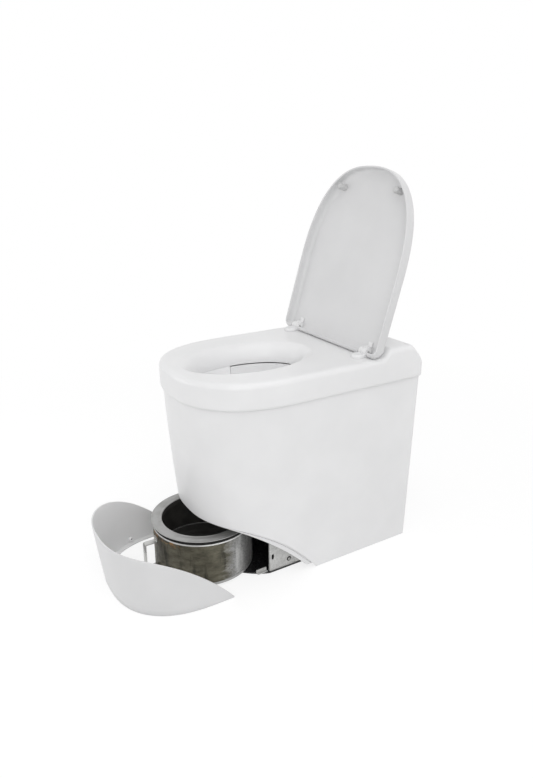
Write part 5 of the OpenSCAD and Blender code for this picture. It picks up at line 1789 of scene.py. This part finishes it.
@dataclass
class Chassis(SubAssembly):
    """The sheet steel sides under the casing, and their screws."""

    x: float = 140
    t: float = 2
    front: float = -118
    rear: float = 95
    flange: float = 6
    low: float = 4
    high: float = 134
    slot: Flat = (-109, 43)
    slot_w: float = 6.5
    slot_h: float = 14.5
    screw_ys: tuple[float, ...] = (-62, 40)
    screw_zs: tuple[float, ...] = (22, 112)
    screw_hole: float = 2.2
    head_r: float = 3.6
    head_h: float = 1.6
    washer_r: float = 6.4
    washer_t: float = 0.55

    def build(self) -> None:
        """Builds the sides and the screws."""
        path = [(self.x - self.flange, self.front + self.t / 2), (self.x - self.t / 2, self.front + self.t / 2),
                (self.x - self.t / 2, self.rear)]
        side = Shape().prism(strap(path, self.t / 2, 2.0), self.low, self.high, Axis.Z)
        hole = Shape()
        r, half = self.slot_w / 2, (self.slot_h - self.slot_w) / 2
        slot = arc(0, half, r, 0, 180, 10) + arc(0, -half, r, 180, 360, 10)
        hole.prism([(self.slot[0] + a, self.slot[1] + b) for a, b in slot], self.x - 5, self.x + 2, Axis.X)
        spots = [(y, z) for y in self.screw_ys for z in self.screw_zs]
        for y, z in spots:
            hole.plug(self.screw_hole, -5, 3, (self.x, y, z), Axis.X, 24)
        for name, shape, cut in (("right", side, hole), ("left", side.mirrored(), hole.mirrored())):
            self.piece(shape, f"chassis_sheet_{name}", Palette.galvanised, "housing", [f"chassis_side_{name}"],
                       bevel=0.3, cut=cut)
        heads, marks, washers = Shape(), Shape(), Shape()
        w, t = self.washer_r, self.washer_t
        ring = [(2.3, 0.02), (w, 0.02), (w, t - 0.2), (w - 0.3, t), (2.3, t)]
        for y, z in spots:
            add_screw(heads, marks, (self.x + 0.6, y, z), Axis.X, self.head_r, self.head_h, 6)
            washers.turned(ring, (self.x, y, z), Axis.X, 40)
        self.piece(washers.both_sides(), "chassis_screw_washers", Palette.black_plate, "housing", [])
        self.piece(heads.both_sides(), "chassis_screw_heads", Palette.zinc, "housing", ["chassis_screws"],
                   cut=marks.both_sides())


@dataclass
class RearFittings(SubAssembly):
    """The rear panel with its screws, the exhaust and air spigots, and the mains inlet."""

    exhaust_r: float = 55
    exhaust_in: float = 249
    air_r: float = 38
    air_in: float = 260.7
    air_flange: float = 46
    play: float = 1.2
    wall: float = 3.5
    shoulder: float = 283.5
    end: float = 332.5
    louvre_x: Flat = (30, 110)
    louvre_z: Flat = (200, 290)
    louvre_h: float = 2.5
    screw_zs: tuple[float, ...] = (60, 240, 420)
    screw_r: float = 4
    screw_h: float = 2.3
    socket: Flat = (-100, 60)
    socket_half: Flat = (24, 14)
    socket_rim: float = 4
    socket_y: Flat = (280.7, 283.2)
    pin_xs: tuple[float, ...] = (-7, 0, 7)

    def build(self) -> None:
        """Builds the pieces at the rear."""
        self.panel()
        self.spigot("exhaust_spigot", EXHAUST, self.exhaust_r, self.exhaust_in, "exhaust_pipe_end",
                    Palette.bright_steel)
        self.spigot("air_inlet_spigot", AIR_INLET, self.air_r, self.air_in, "air_pipe_end", Palette.grey_plastic,
                    self.air_flange)
        self.inlet()

    def panel(self) -> None:
        """Builds the rear panel with its openings and louvres, and its screws."""
        low, high = (Vector(v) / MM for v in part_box("rear_panel"))
        front, rear = low.y, high.y
        cut = Shape()
        for (x, z), r in ((EXHAUST, self.exhaust_r), (AIR_INLET, self.air_r)):
            cut.plug(r - self.play, -3, 6, (x, front, z), Axis.Y)
        (x, z), (a, b) = self.socket, self.socket_half
        cut.block((x - a - 0.3, front - 1, z - b - 0.3), (x + a + 0.3, rear + 1, z + b + 0.3))
        near, far = self.louvre_x
        for z in span(*self.louvre_z, 9):
            for a, b in ((-far, -near), (near, far)):
                cut.block((a, front - 1, z), (b, rear + 1, z + self.louvre_h))
        self.piece(Shape().block((low.x, front, low.z), (high.x, rear, high.z)), "rear_cover_sheet",
                   Palette.white_painted, "housing", ["rear_panel"], bevel=0.4, cut=cut)
        heads, marks = Shape(), Shape()
        low, high = (Vector(v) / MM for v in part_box("rear_panel_screws"))
        x = high.x - self.screw_r
        for z in self.screw_zs:
            y = Body().at((Side.REAR, 0), z, 0)[1] + 0.3
            add_screw(heads, marks, (x, y, z), Axis.Y, self.screw_r, self.screw_h, 0)
        self.piece(heads.both_sides(), "rear_cover_screws", Palette.zinc, "housing", ["rear_panel_screws"],
                   cut=marks.both_sides())

    def spigot(self, node: str, centre: Flat, r: float, inside: float, name: str, finish: Finish,
               flange: float = 0) -> None:
        """Builds a pipe end with a bead round its free end.

        Args:
            node: the CAD node that it stands for.
            centre: x and z of its axis.
            r: outer radius of the free end.
            inside: y of its inner end.
            name: its name.
            finish: its finish.
            flange: radius of the flange inside the rear panel, or 0.
        """
        shoulder, end, bore = self.shoulder, self.end, r - self.wall
        loop = [(bore, inside), (r - 1.5, inside)]
        if flange:
            loop += [(r - 1.5, 278.4), (flange, 278.4), (flange, 280.4), (r - 1.5, 280.4)]
        loop += [(r - 1.5, shoulder), (r - 0.3, shoulder), (r, shoulder + 0.4), (r, end - 14), (r - 0.8, end - 12.5),
                 (r - 0.8, end - 10.5), (r, end - 9), (r, end - 0.8), (r - 0.8, end), (bore + 0.5, end),
                 (bore, end - 0.5)]
        self.piece(Shape().turned(loop, (centre[0], 0, centre[1]), Axis.Y, 128), name, finish, "housing", [node])

    def inlet(self) -> None:
        """Builds the mains inlet with its rim, shroud and three pins."""
        (x, z), (front, rear), (a, b) = self.socket, self.socket_y, self.socket_half
        shape = Shape().block((x - a, front - 18, z - b), (x + a, rear + 2, z + b))
        a, b = a + self.socket_rim, b + self.socket_rim
        shape.block((x - a, rear + 0.3, z - b), (x + a, rear + 2.3, z + b))
        well = [(-12, -8), (12, -8), (12, 5), (9, 8), (-9, 8), (-12, 5)]
        cut = Shape().prism([(b + z, a + x) for a, b in well], front - 12, 300, Axis.Y)
        self.piece(shape, "mains_inlet", Palette.black_plastic, "housing", ["power_inlet"], cut=cut)
        pins = Shape()
        for dx in self.pin_xs:
            pins.block((x + dx - 1, front - 13, z - 2), (x + dx + 1, rear - 1, z + 2))
        self.piece(pins, "mains_inlet_pins", Palette.zinc, "housing", [], bevel=0.3)


@dataclass
class Controls(SubAssembly):
    """The start button and the three status lenses on the ridge."""

    top: float = 2.5
    cap_r: float = 11
    lens_r: float = 3

    def build(self) -> None:
        """Builds the button and lenses."""
        x, y = BUTTON
        top, low, r = self.top, self.top - 16, self.cap_r
        cap = [(0, low), (r - 0.4, low), (r, low + 0.4), (r, top - 0.9), (r - 0.3, top - 0.3), (r - 1, top)]
        cap += [(8.6, top), (8.2, top - 0.35), (7.6, top - 0.5), (4, top - 0.9), (0, top - 1.0)]
        self.piece(Shape().turned(cap, (x, y, RIDGE_Z)), "start_button_cap", Palette.button_metal, "button",
                   ["start_button"])
        shape = Shape()
        r = self.lens_r
        dome = [(0, -4), (r, -4), (r, 0.1), (r - 0.3, 0.45), (r - 1, 0.7), (r - 2, 0.8), (0, 0.8)]
        for lens in LENS_XS:
            shape.turned(dome, (lens, y, RIDGE_Z), steps=40)
        self.piece(shape, "status_lens_domes", Palette.lens, "housing", ["status_lenses"])


@dataclass
class CarriedNodes(SubAssembly):
    """The CAD nodes that keep their shape and get a better surface.

    Args:
        frame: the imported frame, with its record and its nodes.
    """

    frame: dict = field(default_factory=dict)

    def build(self) -> None:
        """Gives every CAD node the material of its slot, with black plate on the runners under the pan as painted
        shade.
        """
        slots = {s["node"]: s["material_slot"] for s in self.frame["record"]["subparts"]}
        # Black plate on the runners stands for the shade under the pan: painted shade.
        slots["pan_runners"] = "black_plate"
        for name, node in self.frame["nodes"].items():
            material = self.shop.material(Palette.named(slots[name]))
            if not node.material_slots:
                node.data.materials.append(material)
            for place in node.material_slots:
                place.material = material
        LOG.info("%d CAD nodes dressed", len(self.frame["nodes"]))


@dataclass(frozen=True)
class Camera:
    """The camera of the photograph, fitted to the object's edges."""

    place: Point = (1.297512, -0.814656, 0.976436)
    right: Point = (0.520328, 0.853961, -0.003179)
    up: Point = (-0.284402, 0.176797, 0.942262)
    back: Point = (0.805217, -0.489381, 0.33486)
    lens: float = 29.995
    shift: Flat = (-0.00656, -0.00718)
    sensor: float = 36.0
    clip: Flat = (0.05, 60.0)

    def build(self) -> None:
        """Makes the scene's camera."""
        data = bpy.data.cameras.new("camera")
        data.lens, data.sensor_width, data.sensor_fit = self.lens, self.sensor, "AUTO"
        data.shift_x, data.shift_y = self.shift
        data.clip_start, data.clip_end = self.clip
        camera = bpy.data.objects.new("camera", data)
        matrix = Matrix([self.right, self.up, self.back]).transposed().to_4x4()
        matrix.translation = self.place
        camera.matrix_world = matrix
        bpy.context.scene.collection.objects.link(camera)
        bpy.context.scene.camera = camera


@dataclass(frozen=True)
class Lamp:
    """One soft box, aimed at the object."""

    name: str
    place: Point
    size: float
    power: float
    aim: Point = (0.0, 0.0, 0.4)

    def build(self) -> None:
        """Makes the lamp."""
        data = bpy.data.lights.new(self.name, "AREA")
        data.shape, data.size, data.energy = "SQUARE", self.size, self.power
        lamp = bpy.data.objects.new(self.name, data)
        lamp.location = self.place
        lamp.rotation_mode = "QUATERNION"
        lamp.rotation_quaternion = (Vector(self.aim) - Vector(self.place)).to_track_quat("-Z", "Y")
        bpy.context.scene.collection.objects.link(lamp)


@dataclass(frozen=True)
class Studio:
    """A white sweep with soft light from all round.

    Args:
        sky: strength of the light from every side.
        slope: how much stronger it is from the right, from the rear and from above.
        shadow: share of the floor's brightness that a shadow takes away.
        clear: distances in metres between which the floor loses its shadow.
        floor_r: radius of the floor.
        floor_z: its height, a hair below the object's foot.
        floor_steps: how many corners it has.
        greys: its two colours for light that bounces off it.
        lamps: the soft boxes.
    """

    sky: float = 0.60
    slope: Point = (0.12, 0.02, 0.13)
    shadow: float = 0.22
    clear: Flat = (0.9, 1.8)
    floor_r: float = 14.0
    floor_z: float = -0.0004
    floor_steps: int = 48
    greys: tuple[Point, Point] = ((0.80, 0.80, 0.80), (0.82, 0.82, 0.82))
    lamps: tuple[Lamp, ...] = (
        Lamp("key", (2.3, -1.1, 1.6), 1.5, 14.0),
        Lamp("top", (0.9, -0.1, 2.4), 1.6, 8.0),
        Lamp("fill", (-1.3, -2.2, 0.7), 1.6, 12.0),
    )

    def world(self) -> None:
        """Makes the world: white where it is seen, and soft light on the object."""
        scene = bpy.context.scene
        scene.world = bpy.data.worlds.new("studio")
        scene.world.use_nodes = True
        tree = Nodes(scene.world.node_tree)
        lean = tree.node("VectorMath", {"operation": "DOT_PRODUCT"},
                         {0: tree.node("TexCoord").outputs["Generated"], 1: self.slope})
        sky = tree.node("Math", {"operation": "ADD"}, {0: lean.outputs["Value"], 1: self.sky}).outputs["Value"]
        light = tree.node("Background", None, {"Color": WHITE, "Strength": sky})
        white = tree.node("Background", None, {"Color": WHITE, "Strength": 1.0})
        mix = tree.node("MixShader", None, {"Fac": tree.seen(), 1: light.outputs[0], 2: white.outputs[0]})
        tree.node("OutputWorld", None, {"Surface": mix.outputs[0]})

    def floor(self) -> None:
        """Makes the white floor, which keeps the shadow."""
        data = bpy.data.meshes.new("floor")
        turns = [360 * i / self.floor_steps for i in range(self.floor_steps)]
        ring = [(self.floor_r * cos(a), self.floor_r * sin(a), self.floor_z) for a in turns]
        data.from_pydata(ring, [], [tuple(range(self.floor_steps))])
        floor = bpy.data.objects.new("floor", data)
        bpy.context.scene.collection.objects.link(floor)
        tree = NodeTree("floor")
        soft = tree.range(tree.noise(3.0), 0.3, 0.7)
        plain = tree.mix(soft, *self.greys)
        away = tree.node("VectorMath", {"operation": "LENGTH"}, {0: tree.coords}).outputs["Value"]
        dark = tree.range(away, *self.clear, self.shadow + 0.04, 0.0)
        glow = tree.range(away, *self.clear, 1.0 - self.shadow, 1.0)
        seen = tree.seen()
        tree.set(Base_Color=tree.mix(seen, plain, tree.mix(dark, BLACK, WHITE)), Roughness=1.0,
                 Specular_IOR_Level=0.0, Emission_Color=WHITE, Emission_Strength=tree.product(seen, glow))
        data.materials.append(tree.material)

    def build(self) -> None:
        """Makes the world, the floor and the lamps."""
        bpy.context.scene.view_settings.view_transform = "Standard"
        self.world()
        self.floor()
        for lamp in self.lamps:
            lamp.build()


def main() -> None:
    """Builds the scene from the frame up."""
    logging.basicConfig(level=logging.INFO, format="%(name)s: %(message)s")
    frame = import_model()
    Camera().build()
    Studio().build()
    shop = Workshop()
    CarriedNodes(shop, frame=frame).build()
    for kind in (Casing, FrontPanel, Deck, Bowl, Lid, Hinges, AshPan, Chassis, RearFittings, Controls):
        group = kind(shop)
        group.build()
        LOG.info("%s: %d pieces", kind.__name__, len(group.made))


if __name__ == "__main__":
    main()
